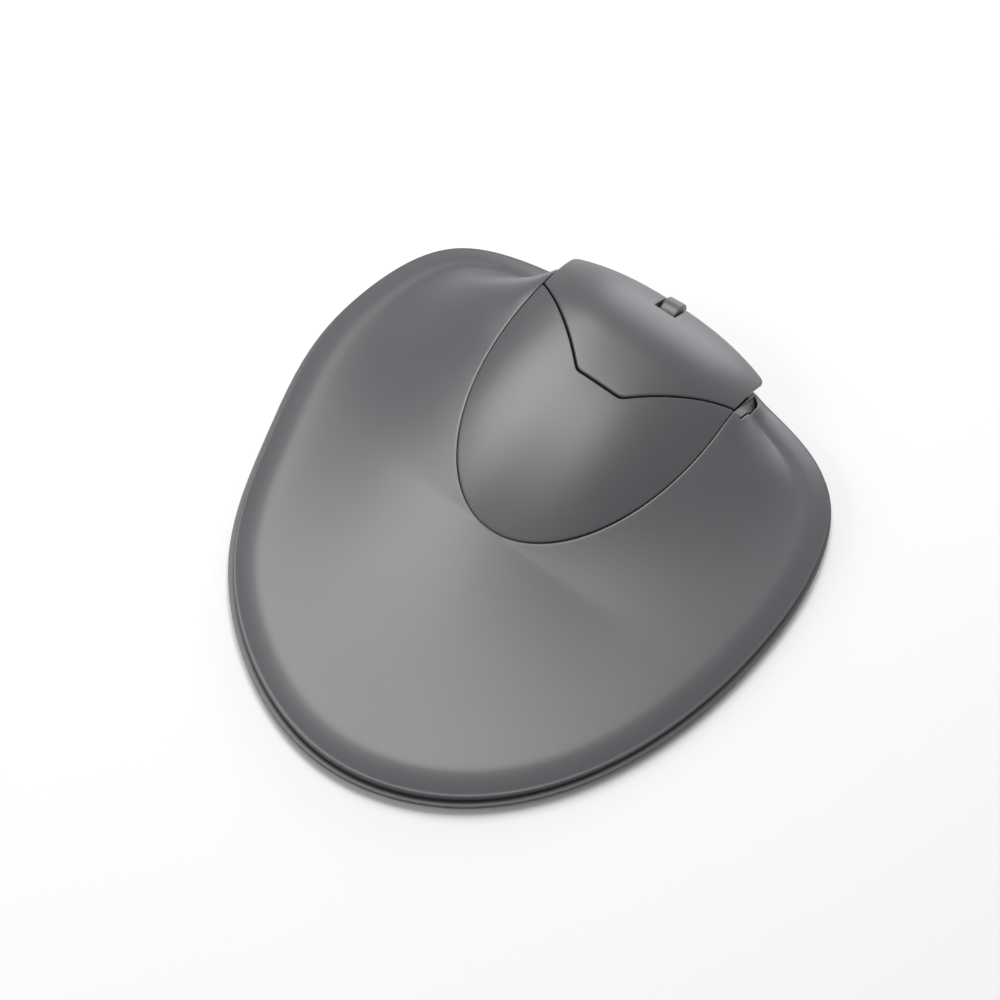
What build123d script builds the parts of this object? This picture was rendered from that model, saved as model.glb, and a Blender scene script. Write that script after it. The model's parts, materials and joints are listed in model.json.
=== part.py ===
from build123d import *
import math
import os

# Cordless ergonomic mouse with a wide palm wing round the body, millimetres.
# The mouse points along +Y, +X is its right side, +Z is up and z = 0 is the desk.

# Overall size of the palm wing seen from above
wing_width = 176.4
wing_length = 191.8
# Middle of the wing, counted from the point under the palm
wing_x = 1.3
wing_y = -2.1
# Shape of the wing's outline, clockwise, as shares of half the width and half the length
wing_shape = [
    (-0.22, 0.998), (0.149, 0.993), (0.537, 0.92), (0.848, 0.772),
    (0.986, 0.462), (0.988, 0.102), (0.898, -0.31), (0.712, -0.667),
    (0.459, -0.896), (0.102, -1), (-0.289, -0.898), (-0.62, -0.627),
    (-0.827, -0.238), (-0.974, 0.168), (-0.991, 0.54), (-0.888, 0.826),
]

# Heights of the wing above the desk
foot_stand = 0.8
pan_floor = 1.8
pan_rim = 2.6
rim_groove = 0.8
skin_edge = 1.0
flange_rise = 2.0
shoulder_width = 9.0
skin_wall = 2.0

# Insets of the rim's parts from the wing's outline
pan_rim_wall = 2.0
pan_round = 1.0
skin_inset = 0.7
tongue_inset = 2.2
tongue_wall = 1.6

# Mouse body: a half ellipse at the tail that runs into straight sides
body_x = 4.3
tail_y = -15.0
seat_y = 57.0
body_half_width = 36.8
body_front_y = 94.5
front_bow = 4.8
front_corner = 3.0
# Outward lean of the sides in front of the notch, seen from above, per millimetre of length
side_flare = 0.06
corner_least = 0.8
tail_seam_z = 11.5
seam_slope = 0.13
crown_mid = 7.5
crown_front = 6.3
crown_run = 60.0
crown_end_y = 90.0
tail_power = 2.05
body_lean = 0.1
nose_start_y = 58.0
nose_radius = 49.0
cover_wall = 2.2
seam_gap = 0.5
skirt_wall = 1.5
skirt_depth = 3.4

# Notch where the wing steps out beside the button plate, on its right side only
notch_y = 66.0
notch_step = 3.0
notch_setback = 7.0
notch_corner = 5.0
cove_end_start = 79.0
cove_end_stop = 90.0
cove_undercut = 0.3
least_room = 1.0
cove_rear_shape = 1.0
cove_front_shape = 2.0
cove_turn_start = 30.0
cove_turn_stop = 66.0

# Seam of V shape between rear cover and button plate
vee_y = 41.4
vee_half_flat = 8.1
vee_arm_y = 66.7
vee_arm_bulge = -0.8
vee_gap = 0.9
vee_corner = 2.0

# Button plate and its rocking pin
plate_edge = 1.0
plate_skirt_wall = 1.5
pin_diameter = 2.0
pin_z = 20.0
pin_start_y = 45.4
pin_length = 26.2
pin_running_gap = 0.06
lug_length = 4.0
lug_half_width = 2.6
lug_wall = 1.3
post_length = 2.6
post_half_width = 3.0
press_reach = 24.0
press_foot = 4.0
press_gap = 0.05

# Scroll wheel
wheel_y = 89.5
wheel_z = 14.8
wheel_radius = 7.0
wheel_width = 6.4
wheel_gap = 1.2
wheel_slot_side = 0.6
wheel_slot_reach = 6.0
wheel_slot_corner = 0.8
tyre_wall = 1.8
tyre_round = 0.8
axle_diameter = 1.6
axle_running_gap = 0.05
arm_wall = 1.5
arm_side_gap = 0.5
wheel_press_travel = 0.6

# Circuit board and what it carries
board_bottom_z = 5.6
board_thickness = 1.2
board_start_y = 49.4
board_length = 30.6
board_half_width = 31.0
switch_length = 12.8
switch_width = 5.8
switch_height = 6.5
switch_y = 64.5
plunger_length = 2.9
plunger_width = 1.3
plunger_stand = 0.9
plunger_depth = 1.6
plunger_gap = 0.05
tact_side = 6.0
tact_height = 3.4
tact_stem_diameter = 3.0
tact_stem_stand = 0.8
tact_stem_depth = 1.4
tact_y = 75.1

# Optical sensor
sensor_y = 57.0
sensor_length = 10.0
sensor_width = 9.0
sensor_height = 2.4
lens_length = 12.0
lens_width = 9.0
window_length = 8.0
window_width = 6.0

# Battery and its door
cell_diameter = 10.5
cell_length = 44.5
cell_start_y = -2.0
cell_gap = 0.3
cradle_wall = 1.2
cradle_height = 7.0
contact_thickness = 0.4
contact_space = 1.4
door_length = 50.0
door_width = 15.0
door_thickness = 1.1
door_gap = 0.25
hinge_pin_diameter = 0.8
hinge_pin_length = 1.5
hinge_running_gap = 0.04
knuckle_gap = 0.3

# Slide switch and pairing button in the floor
bottom_y = 56.5
bottom_reach = 19.0
slider_travel = 2.0
slider_length = 3.0
slider_width = 3.0
slider_case_length = 9.0
slider_case_width = 5.0
slider_stem = 1.4
pair_diameter = 5.0
pair_flange = 0.8
pair_travel = 0.5
pair_gap = 0.1
pair_case_side = 5.2

# Screws and glide feet
screw_shank = 2.0
screw_head = 4.0
screw_head_height = 1.1
screw_gap = 0.1
thread_gap = 0.02
boss_diameter = 6.0
wing_screw_places = [(-62.0, 40.0), (62.0, 30.0), (58.0, -45.0), (-52.0, -38.0), (6.0, -80.0)]
cover_screw_reach = 22.0
cover_screw_y = 18.0
foot_sink = 0.3
foot_width = 9.0
foot_places = [
    (-72.0, 34.0, 84.0, 26.0), (72.0, 24.0, 96.0, 26.0), (58.0, -62.0, 50.0, 26.0),
    (-48.0, -54.0, -52.0, 26.0), (6.0, -90.0, 0.0, 22.0), (0.0, 85.0, 0.0, 30.0),
]

slide_gap = 0.1
foot_gap = 0.1
thread_depth = 1.8

# Inner frame
frame_gap = 0.3
frame_wall = 1.8
cover_seat_gap = 0.15
bulkhead_top_z = 13.4
frame_boss_places = [(-24.0, 45.9), (24.0, 45.9), (-33.9, 77.0), (36.9, 77.0)]
cheek_wall = 3.0
pocket_gap = 0.5
frame_thread_depth = 5.0
cover_boss_z = 8.5
cover_thread_depth = 5.0
board_post_reach = 26.5
board_post_ys = (53.0, 77.3)
board_screw_head = 3.2
board_screw_head_height = 1.0
board_screw_shank = 2.0
board_screw_length = 3.6
plate_drop = 0.9
cheek_drop = 0.1
lug_end_gap = 0.5
wing_rim_clear = 2.0
rail_thickness = 1.4
rail_depth = 1.6
rail_height = 2.9
tongue_half_width = 1.5

encoder_width = 2.8
encoder_length = 7.0
encoder_drop = 4.0
encoder_rise = 1.3
arm_half_height = 1.6
arm_end = 0.3
board_corner = 5.0
sensor_hole = 5.0
sensor_pupil = 3.0
chip_reach = 13.0
chip_side = 5.0
chip_height = 0.9
crystal_length = 3.2
crystal_width = 2.5
lens_recess = 0.3
cell_nub = 1.0
cell_nub_diameter = 3.8
contact_touch = 0.05
contact_dimple = 1.5
contact_half = 3.6
door_grip = 2.0
pair_flange_height = 0.6

# Heights that follow from the sizes above
floor_z = foot_stand
floor_top_z = foot_stand + pan_floor
pan_top_z = foot_stand + pan_rim
skin_edge_z = pan_top_z + rim_groove
rim_z = skin_edge_z + skin_edge
flange_z = rim_z + flange_rise
tail_reach = seat_y - tail_y
half_width = wing_width / 2
half_length = wing_length / 2
board_top_z = board_bottom_z + board_thickness
tall = 60.0
tiny = 0.01
cut_margin = 1.0


# Curves and surfaces
def to_size(points):
    """Stretch a closed set of outline points so that their spline has the wing's full size."""
    raw = Spline([Vector(x, y) for x, y in points], periodic=True).bounding_box()
    scale_x = wing_width / raw.size.X
    scale_y = wing_length / raw.size.Y
    middle = raw.center()
    return [
        Vector(wing_x + (x - middle.X) * scale_x, wing_y + (y - middle.Y) * scale_y) for x, y in points]


outline_points = to_size([(x * half_width, y * half_length) for x, y in wing_shape])


def inward(index):
    """Unit vector that points into the wing at one outline point."""
    count = len(outline_points)
    here = outline_points[index]
    before = here - outline_points[index - 1]
    after = outline_points[(index + 1) % count] - here
    along = before.normalized() * after.length + after.normalized() * before.length
    along = along.normalized()
    return Vector(along.Y, -along.X)


def wing_face(inset):
    """Flat face of the wing's outline, moved inwards by an inset."""
    points = [point + inward(index) * inset for index, point in enumerate(outline_points)]
    return make_face(Spline(points, periodic=True))


def slab(face, bottom, top):
    """Upright solid on a flat face between two heights."""
    return extrude(Pos(0, 0, bottom) * face, amount=top - bottom, dir=(0, 0, 1))


def wing_slab(inset, bottom, top):
    """Upright solid of the wing's outline between two heights."""
    return slab(wing_face(inset), bottom, top)


def block(x0, x1, y0, y1, z0, z1):
    """Box between two corners."""
    middle = ((x0 + x1) / 2, (y0 + y1) / 2, (z0 + z1) / 2)
    return Pos(*middle) * Box(abs(x1 - x0), abs(y1 - y0), abs(z1 - z0))


def tube(x, y, z0, z1, diameter):
    """Upright round solid."""
    return Pos(x, y, (z0 + z1) / 2) * Cylinder(diameter / 2, z1 - z0)


def along_y(x, z, y0, y1, diameter):
    """Round solid that lies along the mouse."""
    return Pos(x, (y0 + y1) / 2, z) * Rot(90, 0, 0) * Cylinder(diameter / 2, y1 - y0)


def along_x(y, z, x0, x1, diameter):
    """Round solid that lies across the mouse."""
    return Pos((x0 + x1) / 2, y, z) * Rot(0, 90, 0) * Cylinder(diameter / 2, x1 - x0)


def ease(share):
    """Smooth step from 0 to 1."""
    share = min(1.0, max(0.0, share))
    return share * share * (3 - 2 * share)


rim_edge = Spline(outline_points, periodic=True)
rim_samples = 360
surface_tolerance = 0.05
rim_line = [(rim_edge @ (i / rim_samples), rim_edge % (i / rim_samples)) for i in range(rim_samples)]


def rim_distance(x, y):
    """Distance of a point inside the wing's outline, negative outside it."""
    point = Vector(x, y)
    near, along = min(rim_line, key=lambda sample: (sample[0].X - x) ** 2 + (sample[0].Y - y) ** 2)
    return (point - near).dot(Vector(along.Y, -along.X))


def seam_height(x, y):
    """Height of the seam between body and wing: a leaning plane that bends down at the nose."""
    rise = tail_seam_z + seam_slope * max(0.0, y - tail_y)
    drop = max(0.0, y - nose_start_y) ** 2 / (2 * nose_radius)
    return rise - drop - body_lean * (x - body_x)


def seam_distance(x, y):
    """Distance of a point outside the body's seam, negative inside it."""
    across = x - body_x
    back = max(0.0, seat_y - y)
    share = math.sqrt((across / body_half_width) ** 2 + (back / tail_reach) ** tail_power)
    return math.hypot(across, back) * (1 - 1 / max(share, tiny))


def wing_height(x, y):
    """Height of the wing's top: rim, shoulder, flange and the cove up to the body."""
    inside = rim_distance(x, y)
    share = min(1.0, inside / shoulder_width)
    shoulder = rim_z + flange_rise * (1 - (1 - share) * abs(1 - share))
    outside = seam_distance(x, y)
    room = max(least_room, inside - shoulder_width)
    step = max(-cove_undercut, min(1.0, outside / max(least_room, outside + room)))
    turned = ease((y - cove_turn_start) / (cove_turn_stop - cove_turn_start))
    shape = cove_rear_shape + (cove_front_shape - cove_rear_shape) * turned
    cove = (1 - step) ** 2 * (1 + shape * step)
    fade = ease((cove_end_stop - y) / (cove_end_stop - cove_end_start))
    return shoulder + (seam_height(x, y) - flange_z) * cove * fade


def body_height(x, y):
    """Height of the mouse body's top: the seam's height and a crown over it."""
    across = (x - body_x) / (body_half_width + side_flare * max(0.0, y - notch_y))
    back = max(0.0, seat_y - y) / tail_reach
    crown = crown_front + (crown_mid - crown_front) * ease((crown_end_y - y) / crown_run)
    return seam_height(x, y) + crown * (1 - across ** 2 - back ** tail_power)


def spread(start, end, count):
    """Evenly spaced values."""
    return [start + (end - start) * i / (count - 1) for i in range(count)]


def surface(height, xs, ys):
    """Smooth face through a grid of heights."""
    rows = [[Vector(x, y, height(x, y)) for y in ys] for x in xs]
    return Face.make_surface_from_array_of_points(rows, tol=surface_tolerance, min_deg=3, max_deg=3)


def layer(face, drop, depth):
    """Solid that follows a face, from a drop below it down to a further depth."""
    return Solid.extrude(Pos(0, 0, -drop - depth) * face, Vector(0, 0, depth))


surface_margin = 6.0
wing_columns = 38
wing_rows = 42
body_columns = 17
body_rows = 24
tail_points = 9
wing_xs = spread(wing_x - half_width - surface_margin, wing_x + half_width + surface_margin, wing_columns)
wing_ys = spread(wing_y - half_length - surface_margin, wing_y + half_length + surface_margin, wing_rows)
body_reach = body_half_width + surface_margin
body_xs = spread(body_x - body_reach, body_x + body_reach, body_columns)
body_ys = spread(tail_y - surface_margin, body_front_y + surface_margin, body_rows)
wing_top = surface(wing_height, wing_xs, wing_ys)
body_top = surface(body_height, body_xs, body_ys)
seam_top = surface(seam_height, body_xs, body_ys)


def front_curves(half, front_y, start_y):
    """Bowed front edge and straight sides that flare in front of the notch, from a start forwards."""
    side_y = front_y - front_bow
    wide = half + side_flare * (side_y - notch_y)
    near = half + side_flare * max(0.0, start_y - notch_y)
    side = [(wide, side_y), (near, start_y)]
    if start_y < notch_y:
        side.insert(1, (half, notch_y))
    bow = ThreePointArc((body_x - wide, side_y), (body_x, front_y), (body_x + wide, side_y))
    right = Polyline([(body_x + x, y) for x, y in side])
    left = Polyline([(body_x - x, y) for x, y in reversed(side)])
    return [bow, right, left]


def round_front(plan, front_y, radius):
    """Round the two front corners of a plan."""
    corners = [corner for corner in plan.vertices() if abs(corner.Y - front_y + front_bow) < tiny]
    return fillet(corners, max(corner_least, radius))


def body_plan(outset):
    """Plan of the mouse body inside its seam: rounded tail, straight sides and bowed front."""
    half = body_half_width + outset
    front_y = body_front_y + outset
    turns = [math.pi / 2 * i / tail_points for i in range(tail_points)]
    right = [
        (body_x + half * math.cos(turn), seat_y - (tail_reach + outset) * math.sin(turn) ** (2 / tail_power))
        for turn in turns]
    left = [(2 * body_x - x, y) for x, y in reversed(right)]
    tail = Spline(right + [(body_x, tail_y - outset)] + left, tangents=[(0, -1), (0, 1)])
    plan = make_face(Curve() + [tail] + front_curves(half, front_y, seat_y))
    return round_front(plan, front_y, front_corner + outset)


def notch_plan(outset, start_y):
    """Plan of the wider and shorter front of the frame below the button plate."""
    half = body_half_width + notch_shift + outset
    front_y = body_front_y - notch_setback + outset
    near = half + side_flare * max(0.0, start_y - notch_y)
    back = Line((body_x + near, start_y), (body_x - near, start_y))
    plan = make_face(Curve() + [back] + front_curves(half, front_y, start_y))
    return Pos(notch_shift, 0) * round_front(plan, front_y, notch_corner + outset)


def vee_plan(shift):
    """Plan of everything in front of the seam of V shape, moved along the mouse."""
    flat_y = vee_y + shift
    arm_y = vee_arm_y + shift
    reach = body_half_width
    middle_y = (flat_y + arm_y) / 2 - vee_arm_bulge
    middle_x = (vee_half_flat + reach) / 2 + vee_arm_bulge
    right = ThreePointArc(
        (body_x + vee_half_flat, flat_y), (body_x + middle_x, middle_y), (body_x + reach, arm_y))
    left = ThreePointArc(
        (body_x - reach, arm_y), (body_x - middle_x, middle_y), (body_x - vee_half_flat, flat_y))
    flat = Line((body_x - vee_half_flat, flat_y), (body_x + vee_half_flat, flat_y))
    far_y = body_front_y + tall
    edges = Polyline(
        (body_x + reach, arm_y), (body_x + tall, arm_y), (body_x + tall, far_y),
        (body_x - tall, far_y), (body_x - tall, arm_y), (body_x - reach, arm_y))
    plan = make_face(Curve() + [flat, right, edges, left])
    corners = [corner for corner in plan.vertices() if abs(corner.Y - flat_y) < tiny]
    return fillet(corners, vee_corner)


# Heights and places that the pieces share
notch_shift = notch_step / 2
opening_outset = seam_gap / 2
piece_outset = -seam_gap / 2
ring_outset = piece_outset - skirt_wall - frame_gap
pin_end_y = pin_start_y + pin_length
front_post_y = pin_end_y - post_length
rear_lug_y = pin_start_y + post_length + lug_end_gap
front_lug_y = front_post_y - lug_end_gap - lug_length
frame_boss_top_z = floor_top_z + frame_thread_depth + frame_wall
switch_top_z = board_top_z + switch_height
tact_top_z = board_top_z + tact_height
stem_top_z = tact_top_z + tact_stem_stand
arm_inner = wheel_width / 2 + arm_side_gap
arm_outer = arm_inner + arm_wall
hub_radius = wheel_radius - tyre_wall
cell_z = floor_top_z + cell_gap + cell_diameter / 2
cell_end_y = cell_start_y + cell_length
cradle_inner = cell_diameter / 2 + cell_gap
door_start_y = (cell_start_y + cell_end_y - door_length) / 2
door_end_y = door_start_y + door_length
door_half_width = door_width / 2
hinge_y = door_end_y - door_thickness
hinge_z = floor_z + door_thickness
cover_screw_places = [(body_x + side * cover_screw_reach, cover_screw_y) for side in (-1, 1)]
frame_screw_places = [(body_x + x, y) for x, y in frame_boss_places]
board_screw_places = [(body_x + side * board_post_reach, y) for side in (-1, 1) for y in board_post_ys]


def opening():
    """Upright solid of the hole that the wing leaves for the mouse body."""
    rear = block(-tall, tall, tail_y - tall, notch_y, -tall, tall)
    hole = slab(body_plan(opening_outset), -tall, tall) & rear
    return hole + slab(notch_plan(opening_outset, notch_y - opening_outset), -tall, tall)


def screw(x, y, shank_top):
    """Pan-head screw that is driven from below."""
    head_z = floor_z + screw_gap
    head = tube(x, y, head_z, head_z + screw_head_height, screw_head)
    return head + tube(x, y, head_z, shank_top, screw_shank)


def screw_hole(x, y, top):
    """Clearance hole and head recess for a screw from below."""
    recess_top = floor_z + screw_head_height + screw_gap
    hole = tube(x, y, 0, top, screw_shank + 2 * screw_gap)
    return hole + tube(x, y, 0, recess_top, screw_head + 2 * screw_gap)


def thread_hole(x, y, bottom, top):
    """Hole that a screw's thread grips."""
    return tube(x, y, bottom, top, screw_shank + 2 * thread_gap)


def foot_plan(place, extra):
    """Plan of one glide foot."""
    x, y, turn, length = place
    return Pos(x, y) * Rot(0, 0, turn) * SlotOverall(length + 2 * extra, foot_width + 2 * extra)


# Palm wing
def make_wing_skin():
    """Top moulding of the palm wing: lip, shoulder, flange and the cove up to the body."""
    hole = opening()
    skin = layer(wing_top, 0, skin_wall) & (wing_slab(skin_inset, 0, tall) - hole)
    edge = wing_slab(-wing_rim_clear, 0, skin_edge_z) - wing_slab(tongue_inset, 0, skin_edge_z)
    skin -= edge
    under = layer(wing_top, skin_wall / 2, tall)
    tongue = wing_slab(tongue_inset, floor_top_z, tall) - wing_slab(tongue_inset + tongue_wall, 0, tall)
    skin += (tongue & under) - hole
    collar = slab(body_plan(opening_outset + skirt_wall), pan_top_z, tall)
    collar -= block(-tall, tall, notch_y, 2 * tall, 0, tall)
    collar += slab(notch_plan(opening_outset + skirt_wall, notch_y - skirt_wall), pan_top_z, tall)
    collar = (collar & wing_slab(tongue_inset, 0, tall)) - hole
    skin += collar & layer(wing_top, skin_wall / 2, skirt_depth)
    for x, y in wing_screw_places:
        skin += tube(x, y, skin_edge_z, tall, boss_diameter) & under
    for x, y in wing_screw_places:
        skin -= thread_hole(x, y, 0, skin_edge_z + thread_depth)
    return skin


def make_base_pan():
    """Bottom moulding: flat floor, upright rim, screw posts, battery cradle and windows."""
    pan = wing_slab(0, floor_z, pan_top_z)
    pan = fillet(pan.edges().group_by(Axis.Z)[0], pan_round)
    pan -= wing_slab(pan_rim_wall, floor_top_z, tall)
    for x, y in wing_screw_places:
        pan += tube(x, y, floor_z, skin_edge_z, boss_diameter)
    for x, y in cover_screw_places:
        pan += tube(x, y, floor_z, cover_boss_z, boss_diameter)
    for x, y in board_screw_places:
        pan += tube(x, y, floor_z, board_bottom_z, boss_diameter)
    wall = cradle_inner + cradle_wall
    end = contact_space + cradle_wall
    cradle_top = floor_top_z + cradle_height
    pan += block(body_x - wall, body_x + wall, cell_start_y - end, cell_end_y + end, floor_z, cradle_top)
    pan -= block(
        body_x - cradle_inner, body_x + cradle_inner, cell_start_y - contact_space,
        cell_end_y + contact_space, floor_top_z, tall)
    pan -= block(
        body_x - cradle_inner, body_x + cradle_inner, cell_start_y - cell_gap, cell_end_y + contact_space,
        0, tall)
    pan -= door_room()
    for x, y in wing_screw_places:
        pan -= screw_hole(x, y, tall)
    for x, y in cover_screw_places + frame_screw_places:
        pan -= screw_hole(x, y, tall)
    for x, y in board_screw_places:
        pan -= thread_hole(x, y, floor_top_z, tall)
    for place in foot_places:
        pan -= slab(foot_plan(place, foot_gap), 0, foot_stand + foot_sink)
    pan -= slab(Pos(body_x, sensor_y) * Rectangle(window_width, window_length), 0, tall)
    slide_window = Rectangle(slider_width + 2 * slide_gap, slider_length + slider_travel + 2 * slide_gap)
    pan -= slab(Pos(body_x - bottom_reach, bottom_y) * slide_window, 0, tall)
    pan -= tube(body_x + bottom_reach, bottom_y, 0, tall, pair_diameter + 2 * pair_gap)
    return pan


def door_room():
    """Recess for the battery door, its round hinge edge and its two hinge pins."""
    half = door_half_width + door_gap
    room = block(body_x - half, body_x + half, door_start_y - door_gap, hinge_y, 0, hinge_z + door_gap)
    front_y = hinge_y + door_thickness + knuckle_gap
    room += block(body_x - half, body_x + half, hinge_y - tiny, front_y, 0, hinge_z)
    room += along_x(hinge_y, hinge_z, body_x - half, body_x + half, 2 * (door_thickness + knuckle_gap))
    reach = door_half_width + hinge_pin_length + slide_gap
    bore = hinge_pin_diameter + 2 * hinge_running_gap
    return room + along_x(hinge_y, hinge_z, body_x - reach, body_x + reach, bore)


def make_wing_screws():
    """Screws that hold the wing's skin to the base pan."""
    return Compound([screw(x, y, skin_edge_z + thread_depth - screw_gap) for x, y in wing_screw_places])


def make_glide_feet():
    """Low-friction feet glued into recesses of the base pan."""
    return Compound([slab(foot_plan(place, 0), 0, foot_stand + foot_sink) for place in foot_places])


# Body shells
def make_body_frame():
    """Inner frame: ring wall under the shells, cheeks, front wall, bulkheads and wheel guide."""
    seat = layer(body_top, cover_wall + cover_seat_gap, tall)
    low = layer(body_top, cover_wall + plate_drop + frame_gap, tall)
    ring = slab(body_plan(ring_outset), floor_top_z, tall)
    ring -= slab(body_plan(ring_outset - frame_wall), 0, tall)
    front = slab(vee_plan(0), 0, tall)
    cheek_start = notch_y + frame_gap
    ring -= block(-tall, tall, cheek_start + frame_wall, 2 * tall, 0, tall)
    frame = ((ring - front) & seat) + (ring & front & low)
    cheeks = slab(notch_plan(-frame_gap, cheek_start), floor_top_z, tall)
    shaded = slab(body_plan(opening_outset), 0, tall)
    cheeks = ((cheeks - shaded) & layer(wing_top, cheek_drop, tall)) + (cheeks & shaded & low)
    cheeks -= slab(notch_plan(-frame_gap - cheek_wall, cheek_start + frame_wall), 0, tall)
    passage = body_half_width + ring_outset - frame_wall
    cheeks -= block(body_x - passage, body_x + passage, seat_y, cheek_start + 2 * frame_wall, 0, tall)
    frame += cheeks
    reach = body_half_width + ring_outset - frame_wall / 2
    rear_y = pin_start_y + post_length
    frame += block(body_x - reach, body_x + reach, pin_start_y, rear_y, floor_top_z, bulkhead_top_z)
    post_top = pin_z + pin_diameter / 2 + lug_wall
    frame += block(
        body_x - post_half_width, body_x + post_half_width, pin_start_y, rear_y, floor_top_z, post_top)
    reach = body_half_width + notch_shift - frame_gap - cheek_wall / 2
    middle = body_x + notch_shift
    frame += block(
        middle - reach, middle + reach, front_post_y, pin_end_y, board_top_z + frame_gap, bulkhead_top_z)
    frame += block(
        body_x - post_half_width, body_x + post_half_width, front_post_y, pin_end_y, board_top_z + frame_gap,
        post_top)
    for x, y in frame_screw_places:
        frame += tube(x, y, floor_top_z, frame_boss_top_z, boss_diameter)
        frame -= thread_hole(x, y, 0, floor_top_z + frame_thread_depth)
    frame += wheel_guide()
    frame -= along_y(
        body_x, pin_z, pin_start_y - cut_margin, pin_end_y + cut_margin, pin_diameter + 2 * thread_gap)
    slot = wheel_width / 2 + wheel_slot_side
    well_z = wheel_z - wheel_radius - wheel_gap
    well_y = wheel_y - wheel_radius - wheel_gap
    frame -= block(body_x - slot, body_x + slot, well_y, body_front_y + cut_margin, well_z, tall)
    pocket_y = wheel_y + arm_half_height + arm_end + pocket_gap
    pocket_z = wheel_z - encoder_drop - wheel_press_travel - pocket_gap
    frame -= block(
        body_x - arm_outer - pocket_gap, body_x + arm_outer + encoder_width + pocket_gap, well_y, pocket_y,
        pocket_z, tall)
    return frame


def wheel_guide():
    """Two rails on the front bulkhead that keep the wheel carrier upright."""
    rails = Part()
    for side in (-1, 1):
        near = body_x + side * (tongue_half_width + slide_gap)
        far = near + side * rail_thickness
        rails += block(
            near, far, pin_end_y - tiny, pin_end_y + rail_depth, bulkhead_top_z - rail_height, bulkhead_top_z)
    return rails


def make_rear_cover():
    """Rear shell of the body, from the tail to the seam of V shape."""
    plan = slab(body_plan(piece_outset), 0, tall)
    front = slab(vee_plan(-vee_gap / 2), 0, tall)
    cover = (layer(body_top, 0, cover_wall) & plan) - front
    skirt = plan - slab(body_plan(piece_outset - skirt_wall), 0, tall)
    skirt -= block(-tall, tall, notch_y, body_front_y, 0, tall)
    cover += (layer(body_top, cover_wall / 2, skirt_depth) & skirt) - front
    under = layer(body_top, cover_wall / 2, tall)
    for x, y in cover_screw_places:
        cover += tube(x, y, cover_boss_z, tall, boss_diameter) & under
        cover -= thread_hole(x, y, 0, cover_boss_z + cover_thread_depth)
    return cover


def plate_block(x0, x1, y0, y1, bottom):
    """Block that stands down from inside the button plate."""
    return block(x0, x1, y0, y1, bottom, tall) & layer(body_top, cover_wall / 2, tall)


def make_button_plate():
    """One-piece button plate with its skirt, pin lugs, press feet, ribs and wheel slot."""
    plan = slab(body_plan(piece_outset) & vee_plan(vee_gap / 2), 0, tall)
    plate = layer(body_top, 0, cover_wall) & plan
    skirt = plan - slab(body_plan(piece_outset - plate_skirt_wall), 0, tall)
    plate += skirt & layer(body_top, cover_wall / 2, tall)
    plate -= skirt & layer(seam_top, plate_edge, tall)
    lug_bottom = pin_z - pin_diameter / 2 - lug_wall
    for start in (rear_lug_y, front_lug_y):
        plate += plate_block(
            body_x - lug_half_width, body_x + lug_half_width, start, start + lug_length, lug_bottom)
    foot_bottom = switch_top_z + plunger_stand + press_gap
    for side in (-1, 1):
        middle = body_x + side * press_reach
        plate += plate_block(
            middle - press_foot / 2, middle + press_foot / 2, switch_y - press_foot / 2,
            switch_y + press_foot / 2, foot_bottom)
    plate -= along_y(
        body_x, pin_z, pin_start_y, pin_end_y, pin_diameter + 2 * pin_running_gap)
    return plate - slab(wheel_slot_plan(), 0, tall)


def wheel_slot_plan():
    """Plan of the slot for the wheel, open at the body's front edge."""
    width = wheel_width + 2 * wheel_slot_side
    length = 2 * (body_front_y - wheel_y + wheel_slot_reach)
    start_y = wheel_y - wheel_slot_reach
    return Pos(body_x, start_y + length / 2) * RectangleRounded(width, length, wheel_slot_corner)


def make_plate_pin():
    """Steel pin that the button plate rocks on."""
    return along_y(body_x, pin_z, pin_start_y, pin_end_y, pin_diameter)


def make_cover_screws():
    """Long screws that pull the rear cover down from below."""
    top = cover_boss_z + cover_thread_depth - screw_gap
    return Compound([screw(x, y, top) for x, y in cover_screw_places])


def make_frame_screws():
    """Screws that hold the inner frame to the base pan."""
    top = floor_top_z + frame_thread_depth - screw_gap
    return Compound([screw(x, y, top) for x, y in frame_screw_places])


# Scroll wheel
def make_wheel_hub():
    """Wheel hub with its two axle ends."""
    hub = along_x(wheel_y, wheel_z, body_x - wheel_width / 2, body_x + wheel_width / 2, 2 * hub_radius)
    axle_end = body_x + arm_outer + encoder_width
    return hub + along_x(wheel_y, wheel_z, body_x - arm_outer, axle_end, axle_diameter)


def make_wheel_tyre():
    """Smooth soft tyre with rounded shoulders."""
    half = wheel_width / 2
    tyre = along_x(wheel_y, wheel_z, body_x - half, body_x + half, 2 * wheel_radius)
    tyre = fillet(tyre.edges().filter_by(GeomType.CIRCLE), tyre_round)
    return tyre - along_x(wheel_y, wheel_z, body_x - half, body_x + half, 2 * hub_radius)


def make_wheel_carrier():
    """Fork that holds the wheel's axle and slides down onto the switch below it."""
    bar_front = wheel_y - wheel_radius - wheel_gap
    bar_rear = pin_end_y + rail_depth + slide_gap
    bottom = stem_top_z + press_gap
    top = wheel_z + arm_half_height
    fork = block(body_x - arm_outer, body_x + arm_outer, bar_rear, bar_front, bottom, top)
    for side in (-1, 1):
        fork += block(
            body_x + side * arm_inner, body_x + side * arm_outer, bar_front - tiny,
            wheel_y + arm_half_height + arm_end, wheel_z - 2 * arm_half_height, top)
    fork += block(
        body_x - tongue_half_width, body_x + tongue_half_width, pin_end_y + slide_gap, bar_rear + tiny,
        bottom, bulkhead_top_z)
    bore = axle_diameter + 2 * axle_running_gap
    return fork - along_x(wheel_y, wheel_z, body_x - tall, body_x + tall, bore)


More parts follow.
